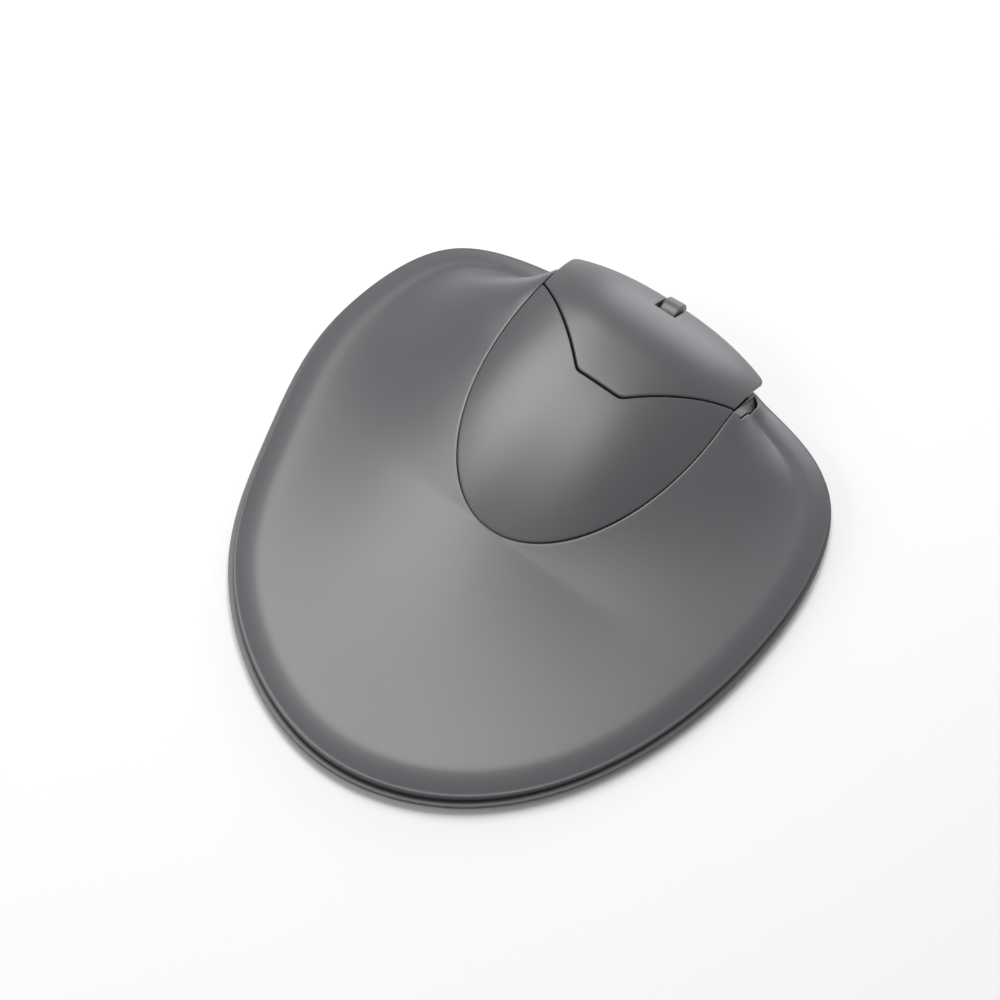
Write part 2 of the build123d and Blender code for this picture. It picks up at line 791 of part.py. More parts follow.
def make_wheel_encoder():
    """Rotary encoder on the right arm of the fork."""
    start = body_x + arm_outer
    case = block(
        start, start + encoder_width, wheel_y + arm_half_height - encoder_length, wheel_y + arm_half_height,
        wheel_z - encoder_drop, wheel_z + encoder_rise)
    bore = axle_diameter + 2 * axle_running_gap
    return case - along_x(wheel_y, wheel_z, start - cut_margin, start + tall, bore)


# Circuit board and switches
def make_circuit_board():
    """Board that carries the switches, the sensor and the radio chip."""
    middle_y = board_start_y + board_length / 2
    plan = Pos(body_x, middle_y) * RectangleRounded(2 * board_half_width, board_length, board_corner)
    board = slab(plan, board_bottom_z, board_top_z)
    for x, y in board_screw_places:
        board -= tube(x, y, 0, tall, board_screw_shank + 2 * screw_gap)
    return board - tube(body_x, sensor_y, 0, tall, sensor_hole)


def make_board_screws():
    """Short screws that hold the board to the posts of the base pan."""
    parts = []
    for x, y in board_screw_places:
        head_top = board_top_z + board_screw_head_height
        head = tube(x, y, board_top_z, head_top, board_screw_head)
        parts.append(head + tube(x, y, head_top - board_screw_length, head_top, board_screw_shank))
    return Compound(parts)


def make_switch_case(side):
    """Micro switch under one press foot of the button plate."""
    middle = body_x + side * press_reach
    case = block(
        middle - switch_length / 2, middle + switch_length / 2, switch_y - switch_width / 2,
        switch_y + switch_width / 2, board_top_z, switch_top_z)
    half_length_x = plunger_width / 2 + plunger_gap
    half_length_y = plunger_length / 2 + plunger_gap
    return case - block(
        middle - half_length_x, middle + half_length_x, switch_y - half_length_y, switch_y + half_length_y,
        switch_top_z - plunger_depth - plunger_stand, tall)


def make_plunger(side):
    """Plunger of one micro switch."""
    middle = body_x + side * press_reach
    return block(
        middle - plunger_width / 2, middle + plunger_width / 2, switch_y - plunger_length / 2,
        switch_y + plunger_length / 2, switch_top_z - plunger_depth, switch_top_z + plunger_stand)


def make_wheel_switch():
    """Square tact switch under the wheel's fork."""
    half = tact_side / 2
    case = block(body_x - half, body_x + half, tact_y - half, tact_y + half, board_top_z, tact_top_z)
    pocket = tact_stem_diameter + 2 * plunger_gap
    return case - tube(body_x, tact_y, tact_top_z - tact_stem_depth - tact_stem_stand, tall, pocket)


def make_wheel_plunger():
    """Round stem of the tact switch."""
    return tube(body_x, tact_y, tact_top_z - tact_stem_depth, stem_top_z, tact_stem_diameter)


def make_radio_chip():
    """Controller and radio chip on the board."""
    x = body_x - chip_reach
    half = chip_side / 2
    return block(x - half, x + half, sensor_y - half, sensor_y + half, board_top_z, board_top_z + chip_height)


def make_clock_crystal():
    """Clock crystal beside the radio chip."""
    x = body_x + chip_reach
    return block(
        x - crystal_length / 2, x + crystal_length / 2, sensor_y - crystal_width / 2,
        sensor_y + crystal_width / 2, board_top_z, board_top_z + chip_height)


# Sensor
def make_sensor_chip():
    """Image sensor that looks down through the board."""
    case = block(
        body_x - sensor_width / 2, body_x + sensor_width / 2, sensor_y - sensor_length / 2,
        sensor_y + sensor_length / 2, board_top_z, board_top_z + sensor_height)
    return case - tube(body_x, sensor_y, 0, board_top_z + sensor_height / 2, sensor_pupil)


def make_sensor_lens():
    """Clear lens between the board and the window in the floor."""
    lens = block(
        body_x - lens_width / 2, body_x + lens_width / 2, sensor_y - lens_length / 2,
        sensor_y + lens_length / 2, floor_top_z, board_bottom_z)
    stub = slab(
        Pos(body_x, sensor_y) * Rectangle(window_width - 2 * slide_gap, window_length - 2 * slide_gap),
        floor_z + lens_recess, floor_top_z)
    return lens + stub


# Battery
def make_battery_cell():
    """Small round cell that lies along the body."""
    can = along_y(body_x, cell_z, cell_start_y, cell_end_y - cell_nub, cell_diameter)
    return can + along_y(body_x, cell_z, cell_end_y - cell_nub, cell_end_y, cell_nub_diameter)


def make_battery_contacts():
    """Two bent strips that press on the ends of the cell."""
    parts = []
    for wall_y, cell_y in (
            (cell_start_y - contact_space, cell_start_y - contact_touch),
            (cell_end_y + contact_space, cell_end_y + contact_touch)):
        side = 1 if cell_y > wall_y else -1
        half = contact_half
        strip = block(
            body_x - half, body_x + half, wall_y, wall_y + side * contact_thickness,
            cell_z - half, cell_z + half)
        strip += block(
            body_x - contact_dimple, body_x + contact_dimple, wall_y, cell_y,
            cell_z - contact_dimple, cell_z + contact_dimple)
        parts.append(strip)
    return Compound(parts)


def make_battery_door():
    """Flush door under the cell that swings down on two pins at its round front edge."""
    half = door_half_width
    door = block(body_x - half, body_x + half, door_start_y, hinge_y, floor_z, hinge_z)
    door += along_x(hinge_y, hinge_z, body_x - half, body_x + half, 2 * door_thickness)
    reach = half + hinge_pin_length
    door += along_x(hinge_y, hinge_z, body_x - reach, body_x + reach, hinge_pin_diameter)
    grip = slab(
        Pos(body_x, door_start_y + 3 * door_grip) * SlotOverall(door_width - 2 * door_grip, door_grip),
        floor_z, floor_z + door_thickness / 2)
    return door - grip


# Controls under the mouse
def make_power_switch():
    """Case of the slide switch under the board."""
    x = body_x - bottom_reach
    half_x = slider_case_width / 2
    half_y = slider_case_length / 2
    case = block(x - half_x, x + half_x, bottom_y - half_y, bottom_y + half_y, floor_top_z, board_bottom_z)
    pocket_x = slider_width / 2 + slide_gap
    pocket_y = (slider_length + slider_travel) / 2 + slide_gap
    return case - block(
        x - pocket_x, x + pocket_x, bottom_y - pocket_y, bottom_y + pocket_y, 0,
        floor_top_z + slider_stem + slide_gap)


def make_power_slider():
    """Thumb slider in the floor, shown switched off at the rear end of its window."""
    x = body_x - bottom_reach
    start = bottom_y - (slider_length + slider_travel) / 2
    return block(
        x - slider_width / 2, x + slider_width / 2, start, start + slider_length,
        floor_z + lens_recess, floor_top_z + slider_stem)


def make_pairing_button():
    """Round pairing button in the floor with the flange that holds it in."""
    x = body_x + bottom_reach
    button = tube(x, bottom_y, floor_z + lens_recess, floor_top_z, pair_diameter)
    flange_diameter = pair_diameter + 2 * pair_flange
    return button + tube(x, bottom_y, floor_top_z, floor_top_z + pair_flange_height, flange_diameter)


def make_pairing_switch():
    """Tact switch over the pairing button."""
    x = body_x + bottom_reach
    half = pair_case_side / 2
    bottom = floor_top_z + pair_flange_height + pair_travel + pair_gap
    return block(x - half, x + half, bottom_y - half, bottom_y + half, bottom, board_bottom_z)


makers = {
    "base_pan": make_base_pan,
    "wing_skin": make_wing_skin,
    "glide_feet": make_glide_feet,
    "wing_screws": make_wing_screws,
    "body_frame": make_body_frame,
    "rear_cover": make_rear_cover,
    "button_plate": make_button_plate,
    "plate_pin": make_plate_pin,
    "cover_screws": make_cover_screws,
    "frame_screws": make_frame_screws,
    "wheel_hub": make_wheel_hub,
    "wheel_tyre": make_wheel_tyre,
    "wheel_carrier": make_wheel_carrier,
    "wheel_encoder": make_wheel_encoder,
    "wheel_switch": make_wheel_switch,
    "wheel_plunger": make_wheel_plunger,
    "circuit_board": make_circuit_board,
    "board_screws": make_board_screws,
    "left_switch": lambda: make_switch_case(-1),
    "right_switch": lambda: make_switch_case(1),
    "left_plunger": lambda: make_plunger(-1),
    "right_plunger": lambda: make_plunger(1),
    "radio_chip": make_radio_chip,
    "clock_crystal": make_clock_crystal,
    "sensor_chip": make_sensor_chip,
    "sensor_lens": make_sensor_lens,
    "battery_cell": make_battery_cell,
    "battery_contacts": make_battery_contacts,
    "battery_door": make_battery_door,
    "power_switch": make_power_switch,
    "power_slider": make_power_slider,
    "pairing_button": make_pairing_button,
    "pairing_switch": make_pairing_switch,
}


def main():
    """Build each piece and write it as a file of its own."""
    os.makedirs("parts", exist_ok=True)
    for name, maker in makers.items():
        export_step(maker(), f"parts/{name}.step")


if __name__ == "__main__":
    main()
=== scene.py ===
import json
import logging
import math
from dataclasses import dataclass, field
from enum import Enum

import bpy
import numpy as np
from mathutils import Matrix, Vector

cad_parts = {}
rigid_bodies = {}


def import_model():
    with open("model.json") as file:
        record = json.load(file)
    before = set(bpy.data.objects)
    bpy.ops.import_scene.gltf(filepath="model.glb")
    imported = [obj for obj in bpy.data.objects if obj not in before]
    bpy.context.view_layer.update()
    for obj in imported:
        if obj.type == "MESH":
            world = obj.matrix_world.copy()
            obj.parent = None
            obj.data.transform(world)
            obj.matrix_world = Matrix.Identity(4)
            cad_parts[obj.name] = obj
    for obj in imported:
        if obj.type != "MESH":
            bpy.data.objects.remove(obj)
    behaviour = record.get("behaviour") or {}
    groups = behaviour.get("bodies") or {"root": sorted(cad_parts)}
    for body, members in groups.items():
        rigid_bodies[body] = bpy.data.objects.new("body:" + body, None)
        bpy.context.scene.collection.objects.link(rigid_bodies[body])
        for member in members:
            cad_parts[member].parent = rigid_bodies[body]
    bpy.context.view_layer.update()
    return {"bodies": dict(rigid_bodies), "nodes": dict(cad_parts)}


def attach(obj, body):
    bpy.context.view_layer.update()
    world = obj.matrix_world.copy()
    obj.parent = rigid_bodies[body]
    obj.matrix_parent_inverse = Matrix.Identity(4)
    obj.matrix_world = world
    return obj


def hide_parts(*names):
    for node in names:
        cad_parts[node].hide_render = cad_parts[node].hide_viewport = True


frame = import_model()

log = logging.getLogger("mouse")

MM = 0.001
QUARTER = math.pi / 2
CIRCLE = 2 * math.pi
MIRROR = np.array([-1.0, 1.0])
FAR = 999.0
SHARP = math.radians(50)
Array = np.ndarray
Size = float
Pair = tuple[float, float]
Row = tuple[float, float, float]
Inputs = dict[int | str, object]
Material = bpy.types.Material
Piece = bpy.types.Object
Socket = bpy.types.NodeSocket


# Shader maths


class Signal:
    """A shader socket that takes part in plain Python sums."""

    def __init__(self, graph: "Graph", socket: Socket) -> None:
        """Keep the socket and the graph that it is in."""
        self.graph, self.socket = graph, socket

    def math(self, operation: str, *values: "float | Signal") -> "Signal":
        """Run one Math node on these values."""
        settings = {"operation": operation}
        return self.graph.signal("ShaderNodeMath", settings, dict(enumerate(values)))

    def __add__(self, other: "float | Signal") -> "Signal":
        """Sum of both."""
        return self.math("ADD", self, other)

    def __radd__(self, other: float) -> "Signal":
        """Sum of a number and this."""
        return self.math("ADD", other, self)

    def __sub__(self, other: "float | Signal") -> "Signal":
        """This less the other."""
        return self.math("SUBTRACT", self, other)

    def __rsub__(self, other: float) -> "Signal":
        """A number less this."""
        return self.math("SUBTRACT", other, self)

    def __mul__(self, other: "float | Signal") -> "Signal":
        """Product of both."""
        return self.math("MULTIPLY", self, other)

    def __rmul__(self, other: float) -> "Signal":
        """Product of a number and this."""
        return self.math("MULTIPLY", other, self)

    def above(self, limit: float, width: float) -> "Signal":
        """Mask that rises smoothly from 0 at a limit to 1 at a width above it."""
        ends = {"Value": self, "From Min": limit, "From Max": limit + width}
        return self.graph.signal("ShaderNodeMapRange", {"interpolation_type": "SMOOTHSTEP"}, ends)

    def below(self, limit: float, width: float) -> "Signal":
        """Mask that falls smoothly from 1 at a limit to 0 at a width above it."""
        return 1.0 - self.above(limit, width)


class Graph:
    """Empty node tree of a material or a world."""

    def __init__(self, owner: "bpy.types.Material | bpy.types.World") -> None:
        """Start with an empty tree.

        Args:
            owner: Material or world that the tree belongs to.
        """
        owner.use_nodes = True
        self.owner, self.tree = owner, owner.node_tree
        self.tree.nodes.clear()

    def node(self, kind: str, settings: dict[str, object], inputs: Inputs) -> bpy.types.Node:
        """Add one node: its settings first, then its inputs.

        Args:
            kind: Node type.
            settings: Properties of the node.
            inputs: Values, signals or sockets by input name or number.

        Returns:
            The new node.
        """
        made = self.tree.nodes.new(kind)
        for key, value in settings.items():
            setattr(made, key, value)
        for key, value in inputs.items():
            source = value.socket if isinstance(value, Signal) else value
            if isinstance(source, Socket):
                self.tree.links.new(source, made.inputs[key])
            else:
                made.inputs[key].default_value = source
        return made

    def signal(self, kind: str, settings: dict[str, object], inputs: Inputs) -> Signal:
        """Add one node and wrap its first output."""
        return Signal(self, self.node(kind, settings, inputs).outputs[0])


@dataclass(frozen=True)
class Noise:
    """Layer of noise: size of its blobs, finer layers, and how much longer along each axis."""

    size_mm: Size
    detail: float
    stretch: Row = (1.0, 1.0, 1.0)
    roughness: float = 0.55


class Paint(Graph):
    """Node tree of one material, with its Principled shader."""

    def __init__(self, name: str) -> None:
        """Start an empty material of this name."""
        super().__init__(bpy.data.materials.new(name))
        self.place = self.node("ShaderNodeTexCoord", {}, {}).outputs["Object"]

    def noise(self, layer: Noise) -> Signal:
        """Cloudy noise from about 0.2 to 0.8.

        Args:
            layer: Size, detail and stretch of the noise.

        Returns:
            The noise over the surface.
        """
        squeeze = tuple(1.0 / value for value in layer.stretch)
        settings = {"operation": "MULTIPLY"}
        place = self.node("ShaderNodeVectorMath", settings, {0: self.place, 1: squeeze}).outputs[0]
        inputs = {"Vector": place, "Scale": 1.0 / (layer.size_mm * MM)}
        inputs |= {"Detail": layer.detail, "Roughness": layer.roughness}
        return self.signal("ShaderNodeTexNoise", {}, inputs)

    def along(self, axis: str) -> Signal:
        """Object coordinate along one axis, in millimetres."""
        parts = self.node("ShaderNodeSeparateXYZ", {}, {0: self.place})
        return Signal(self, parts.outputs[axis]) * (1.0 / MM)

    def cells(self, size_mm: Size, settings: dict[str, object], inputs: Inputs) -> bpy.types.Node:
        """Pattern of cells of one mean size."""
        place = {"Vector": self.place, "Scale": 1.0 / (size_mm * MM)}
        return self.node("ShaderNodeTexVoronoi", settings, place | inputs)

    def blend(self, share: Signal, first: Row | Socket, second: Row | Socket) -> Socket:
        """Mix two colours by the share of the second.

        Args:
            share: Share of the second colour.
            first: First colour or its socket.
            second: Second colour or its socket.

        Returns:
            Socket of the mixed colour.
        """
        pair = [(*part, 1.0) if isinstance(part, tuple) else part for part in (first, second)]
        inputs = {0: share, 6: pair[0], 7: pair[1]}
        return self.node("ShaderNodeMix", {"data_type": "RGBA"}, inputs).outputs[2]

    def bump(self, height: Signal, depth_mm: Size) -> Socket:
        """Normal of a relief from 0 to 1 that is this deep."""
        inputs = {"Distance": depth_mm * MM, "Height": height}
        return self.node("ShaderNodeBump", {}, inputs).outputs[0]

    def surface(self, inputs: Inputs) -> Material:
        """Close the tree with a Principled shader.

        Args:
            inputs: Values or links of the shader's sockets.

        Returns:
            The finished material.
        """
        shader = self.node("ShaderNodeBsdfPrincipled", {}, inputs)
        self.node("ShaderNodeOutputMaterial", {}, {0: shader.outputs[0]})
        return self.owner


def linear(level: float) -> float:
    """Linear light of one screen level from 0 to 255."""
    value = level / 255.0
    return value / 12.92 if value <= 0.04045 else ((value + 0.055) / 1.055) ** 2.4


def grey(level: float, warm: float = 0.0) -> Row:
    """Linear colour of a screen grey, moved from blue to red by some levels."""
    return tuple(linear(level + shift) for shift in (warm, 0.0, -warm))


def shade(colour: Row, factor: float) -> Row:
    """Colour made darker or lighter by a factor."""
    return tuple(min(1.0, part * factor) for part in colour)


# Finishes


@dataclass(frozen=True)
class Finish:
    """Surface tinted and roughened by a broad and a fine noise, and raised by the fine one."""

    name: str
    colour: Row
    roughness: float
    broad: Noise = Noise(3.0, 3.0)
    fine: Noise = Noise(0.25, 2.0)
    dark: float = 0.9
    light: float = 1.1
    fine_tint: float = 0.0
    broad_rough: float = 0.0
    fine_rough: float = 0.0
    depth_mm: Size = 0.01
    metallic: float = 0.0
    transmission: float = 0.0
    ior: float = 1.5

    def make(self) -> Material:
        """Build the material.

        Returns:
            Material of this finish.
        """
        paint = Paint(self.name)
        broad, fine = paint.noise(self.broad), paint.noise(self.fine)
        return paint.surface({
            "Base Color": self.tone(paint, broad, fine),
            "Roughness": self.roughness + broad * self.broad_rough + fine * self.fine_rough,
            "Normal": paint.bump(fine, self.depth_mm),
            "Metallic": self.metallic,
            "Transmission Weight": self.transmission,
            "IOR": self.ior})

    def tone(self, paint: Paint, broad: Signal, fine: Signal) -> Socket:
        """Colour over the surface."""
        share = broad * (1.0 - self.fine_tint) + fine * self.fine_tint
        return paint.blend(share, shade(self.colour, self.dark), shade(self.colour, self.light))


@dataclass(frozen=True)
class MouldedPlastic(Finish):
    """Satin injection-moulded plastic with a fine spark-eroded grain."""

    broad: Noise = Noise(22.0, 3.0)
    fine: Noise = Noise(0.35, 3.0)
    fine_tint: float = 0.3
    broad_rough: float = 0.04
    fine_rough: float = 0.02
    depth_mm: Size = 0.012


@dataclass(frozen=True)
class SpeckledPlastic(MouldedPlastic):
    """The same plastic with sparse dark specks."""

    speck_share: float = 0.55
    speck_dark: float = 0.35
    spacing_mm: Size = 2.6
    radius_mm: Size = 0.16
    empty_share: float = 0.72
    soft_share: float = 0.02
    soft_edge: float = 0.05

    def tone(self, paint: Paint, broad: Signal, fine: Signal) -> Socket:
        """Plain tint with the specks over it.

        Args:
            paint: Material under way.
            broad: Broad noise.
            fine: Fine noise.

        Returns:
            Socket of the colour.
        """
        cells = paint.cells(self.spacing_mm, {}, {})
        chosen = Signal(paint, cells.outputs["Color"]).above(self.empty_share, self.soft_share)
        radius = self.radius_mm / self.spacing_mm
        dots = Signal(paint, cells.outputs["Distance"]).below(radius, self.soft_edge) * chosen
        dark = shade(self.colour, self.speck_dark)
        return paint.blend(dots * self.speck_share, super().tone(paint, broad, fine), dark)


@dataclass(frozen=True)
class TurnedSteel(Finish):
    """Bright steel with fine lines from the tool."""

    colour: Row = (0.55, 0.55, 0.56)
    roughness: float = 0.24
    fine: Noise = Noise(0.12, 2.0, (1.0, 12.0, 1.0))
    dark: float = 0.85
    light: float = 1.0
    broad_rough: float = 0.06
    fine_rough: float = 0.12
    metallic: float = 1.0


@dataclass(frozen=True)
class SoftRubber(Finish):
    """Smooth soft tyre with a slight sheen."""

    roughness: float = 0.32
    broad: Noise = Noise(2.4, 3.0)
    broad_rough: float = 0.08
    depth_mm: Size = 0.008


@dataclass(frozen=True)
class BrightMetal(Finish):
    """Plated spring strip or crystal can, rolled along its length."""

    roughness: float = 0.25
    broad: Noise = Noise(2.0, 3.0)
    fine: Noise = Noise(0.2, 2.0, (8.0, 1.0, 1.0))
    dark: float = 0.8
    light: float = 1.0
    fine_rough: float = 0.12
    depth_mm: Size = 0.006
    metallic: float = 1.0


@dataclass(frozen=True)
class SlidingFoot(Finish):
    """Slippery foot, worn smooth and scratched where it touches the desk."""

    roughness: float = 0.34
    broad: Noise = Noise(6.0, 3.0)
    fine: Noise = Noise(0.5, 2.0, (9.0, 1.0, 1.0))
    dark: float = 0.8
    light: float = 1.25
    fine_tint: float = 0.4
    fine_rough: float = 0.2


@dataclass(frozen=True)
class ClearLens(Finish):
    """Clear moulded lens with slight flow marks."""

    colour: Row = (0.93, 0.95, 0.96)
    roughness: float = 0.03
    broad: Noise = Noise(1.5, 2.0)
    fine: Noise = Noise(1.5, 2.0)
    dark: float = 0.97
    light: float = 1.0
    broad_rough: float = 0.05
    transmission: float = 0.9
    ior: float = 1.49


@dataclass(frozen=True)
class CellWrap(Finish):
    """Dark film round a cell, with a pale band at the raised end."""

    colour: Row = (0.020, 0.045, 0.10)
    roughness: float = 0.22
    broad: Noise = Noise(1.8, 4.0)
    fine: Noise = Noise(1.8, 4.0)
    broad_rough: float = 0.14
    depth_mm: Size = 0.006
    band: Row = (0.45, 0.44, 0.40)
    band_from_mm: Size = 33.0
    band_soft_mm: Size = 0.1

    def tone(self, paint: Paint, broad: Signal, fine: Signal) -> Socket:
        """Film and band."""
        pale = paint.along("Y").above(self.band_from_mm, self.band_soft_mm)
        return paint.blend(pale, self.colour, self.band)


@dataclass(frozen=True)
class BoardLaminate:
    """Green board with copper tracks under the lacquer."""

    name: str
    lacquer: Row = (0.012, 0.085, 0.035)
    track: Row = (0.035, 0.16, 0.06)
    track_edge: Pair = (0.10, 0.02)
    pitch_mm: Size = 2.2
    disorder: float = 0.45
    weave: Noise = Noise(0.3, 1.0)
    weave_share: float = 0.2
    weave_rough: float = 0.08
    roughness: float = 0.30
    depth_mm: Size = 0.03

    def make(self) -> Material:
        """Build the material.

        Returns:
            Material of this finish.
        """
        paint = Paint(self.name)
        settings = {"feature": "DISTANCE_TO_EDGE", "distance": "EUCLIDEAN"}
        cells = paint.cells(self.pitch_mm, settings, {"Randomness": self.disorder})
        tracks = Signal(paint, cells.outputs["Distance"]).below(*self.track_edge)
        weave = paint.noise(self.weave)
        relief = tracks * (1.0 - self.weave_share) + weave * self.weave_share
        return paint.surface({
            "Base Color": paint.blend(tracks, self.lacquer, self.track),
            "Roughness": self.roughness + weave * self.weave_rough,
            "Normal": paint.bump(relief, self.depth_mm)})


class Slot(Enum):
    """Material slots of the record."""

    WING = "wing_plastic"
    SHELL = "shell_plastic"
    PAN = "pan_plastic"
    FRAME = "frame_plastic"
    FOOT = "foot_ptfe"
    SCREW = "screw_steel"
    PIN = "pin_steel"
    WHEEL = "wheel_plastic"
    TYRE = "tyre_rubber"
    BOARD = "board_laminate"
    SWITCH = "switch_plastic"
    STEM = "stem_plastic"
    CHIP = "chip_epoxy"
    CRYSTAL = "crystal_metal"
    LENS = "lens_clear"
    WRAP = "cell_wrap"
    CONTACT = "contact_metal"


class Finishes:
    """All finishes of the mouse, one for each slot."""

    def __init__(self) -> None:
        """Build every material once."""
        body = tuple(linear(level) for level in (72.0, 73.0, 77.0))
        finishes = {
            Slot.WING: SpeckledPlastic("wing_satin", body, 0.32),
            Slot.SHELL: MouldedPlastic("shell_satin", shade(body, 0.91), 0.30),
            Slot.PAN: MouldedPlastic("pan_gloss", grey(60.0, 0.5), 0.37, depth_mm=0.004),
            Slot.FRAME: MouldedPlastic("frame_satin", shade(body, 1.05), 0.39),
            Slot.FOOT: SlidingFoot("foot_slip", grey(58.0)),
            Slot.SCREW: TurnedSteel("screw_zinc"),
            Slot.PIN: TurnedSteel("pin_ground", roughness=0.14),
            Slot.WHEEL: MouldedPlastic("wheel_satin", shade(body, 0.9), 0.32),
            Slot.TYRE: SoftRubber("tyre_soft", shade(body, 0.98)),
            Slot.BOARD: BoardLaminate("board_green"),
            Slot.SWITCH: MouldedPlastic("switch_case", grey(40.0), 0.35),
            Slot.STEM: MouldedPlastic("stem_ivory", grey(205.0, 6.0), 0.33),
            Slot.CHIP: MouldedPlastic("chip_epoxy", grey(34.0), 0.45, fine=Noise(0.15, 3.0)),
            Slot.CRYSTAL: BrightMetal("crystal_can", (0.72, 0.72, 0.70)),
            Slot.LENS: ClearLens("lens_clear"),
            Slot.WRAP: CellWrap("cell_film"),
            Slot.CONTACT: BrightMetal("contact_nickel", (0.66, 0.62, 0.54)),
        }
        self.materials = {slot: finish.make() for slot, finish in finishes.items()}

    def dress(self, piece: Piece, slot: Slot) -> None:
        """Put the finish of one slot on every material slot of a piece.

        Args:
            piece: Mesh object.
            slot: Slot of the record.
        """
        if piece.material_slots:
            for holder in piece.material_slots:
                holder.material = self.materials[slot]
        else:
            piece.data.materials.append(self.materials[slot])


# Forms that the wing and the body share


def ease(values: Array, start: Size, stop: Size) -> Array:
    """Smooth step from 0 at the start to 1 at the stop."""
    share = np.clip((values - start) / (stop - start), 0.0, 1.0)
    return share * share * (3.0 - 2.0 * share)


def unit(vectors: Array) -> Array:
    """Vectors brought to length 1, one per row."""
    return vectors / np.linalg.norm(vectors, axis=1)[:, None]


def rounding(radius: Size, count: int) -> list[Pair]:
    """Inset and drop along a quarter round, from its top down to its side."""
    turns = np.linspace(0, QUARTER, count)
    return [(radius * (1 - math.sin(turn)), radius * (1 - math.cos(turn))) for turn in turns]


def closed_spline(points: Array, per_span: int) -> Array:
    """Smooth closed curve through points.

    Args:
        points: Corner points, one per row.
        per_span: Samples between two points.

    Returns:
        Dense points round the curve.
    """
    ahead = np.roll(points, -1, axis=0)
    step = np.linalg.norm(ahead - points, axis=1)
    before = np.roll(step, 1)
    system = np.diag(2 * (before + step))
    system += np.roll(np.diag(before), -1, axis=1) + np.roll(np.diag(step), 1, axis=1)
    slope = (ahead - points) / step[:, None]
    bend = np.linalg.solve(system, 6 * (slope - np.roll(slope, 1, axis=0)))
    after = np.roll(bend, -1, axis=0)
    t = np.arange(per_span)[None, :, None] / per_span
    straight = (1 - t) * points[:, None] + t * ahead[:, None]
    curl = ((1 - t) ** 3 - (1 - t)) * bend[:, None] + (t**3 - t) * after[:, None]
    return (straight + curl * step[:, None, None] ** 2 / 6).reshape(-1, 2)


def inward_normals(loop: Array) -> Array:
    """Unit vectors to the right of a clockwise loop's travel, which is into it."""
    along = unit(np.roll(loop, -1, axis=0) - np.roll(loop, 1, axis=0))
    return np.stack([along[:, 1], -along[:, 0]], axis=1)


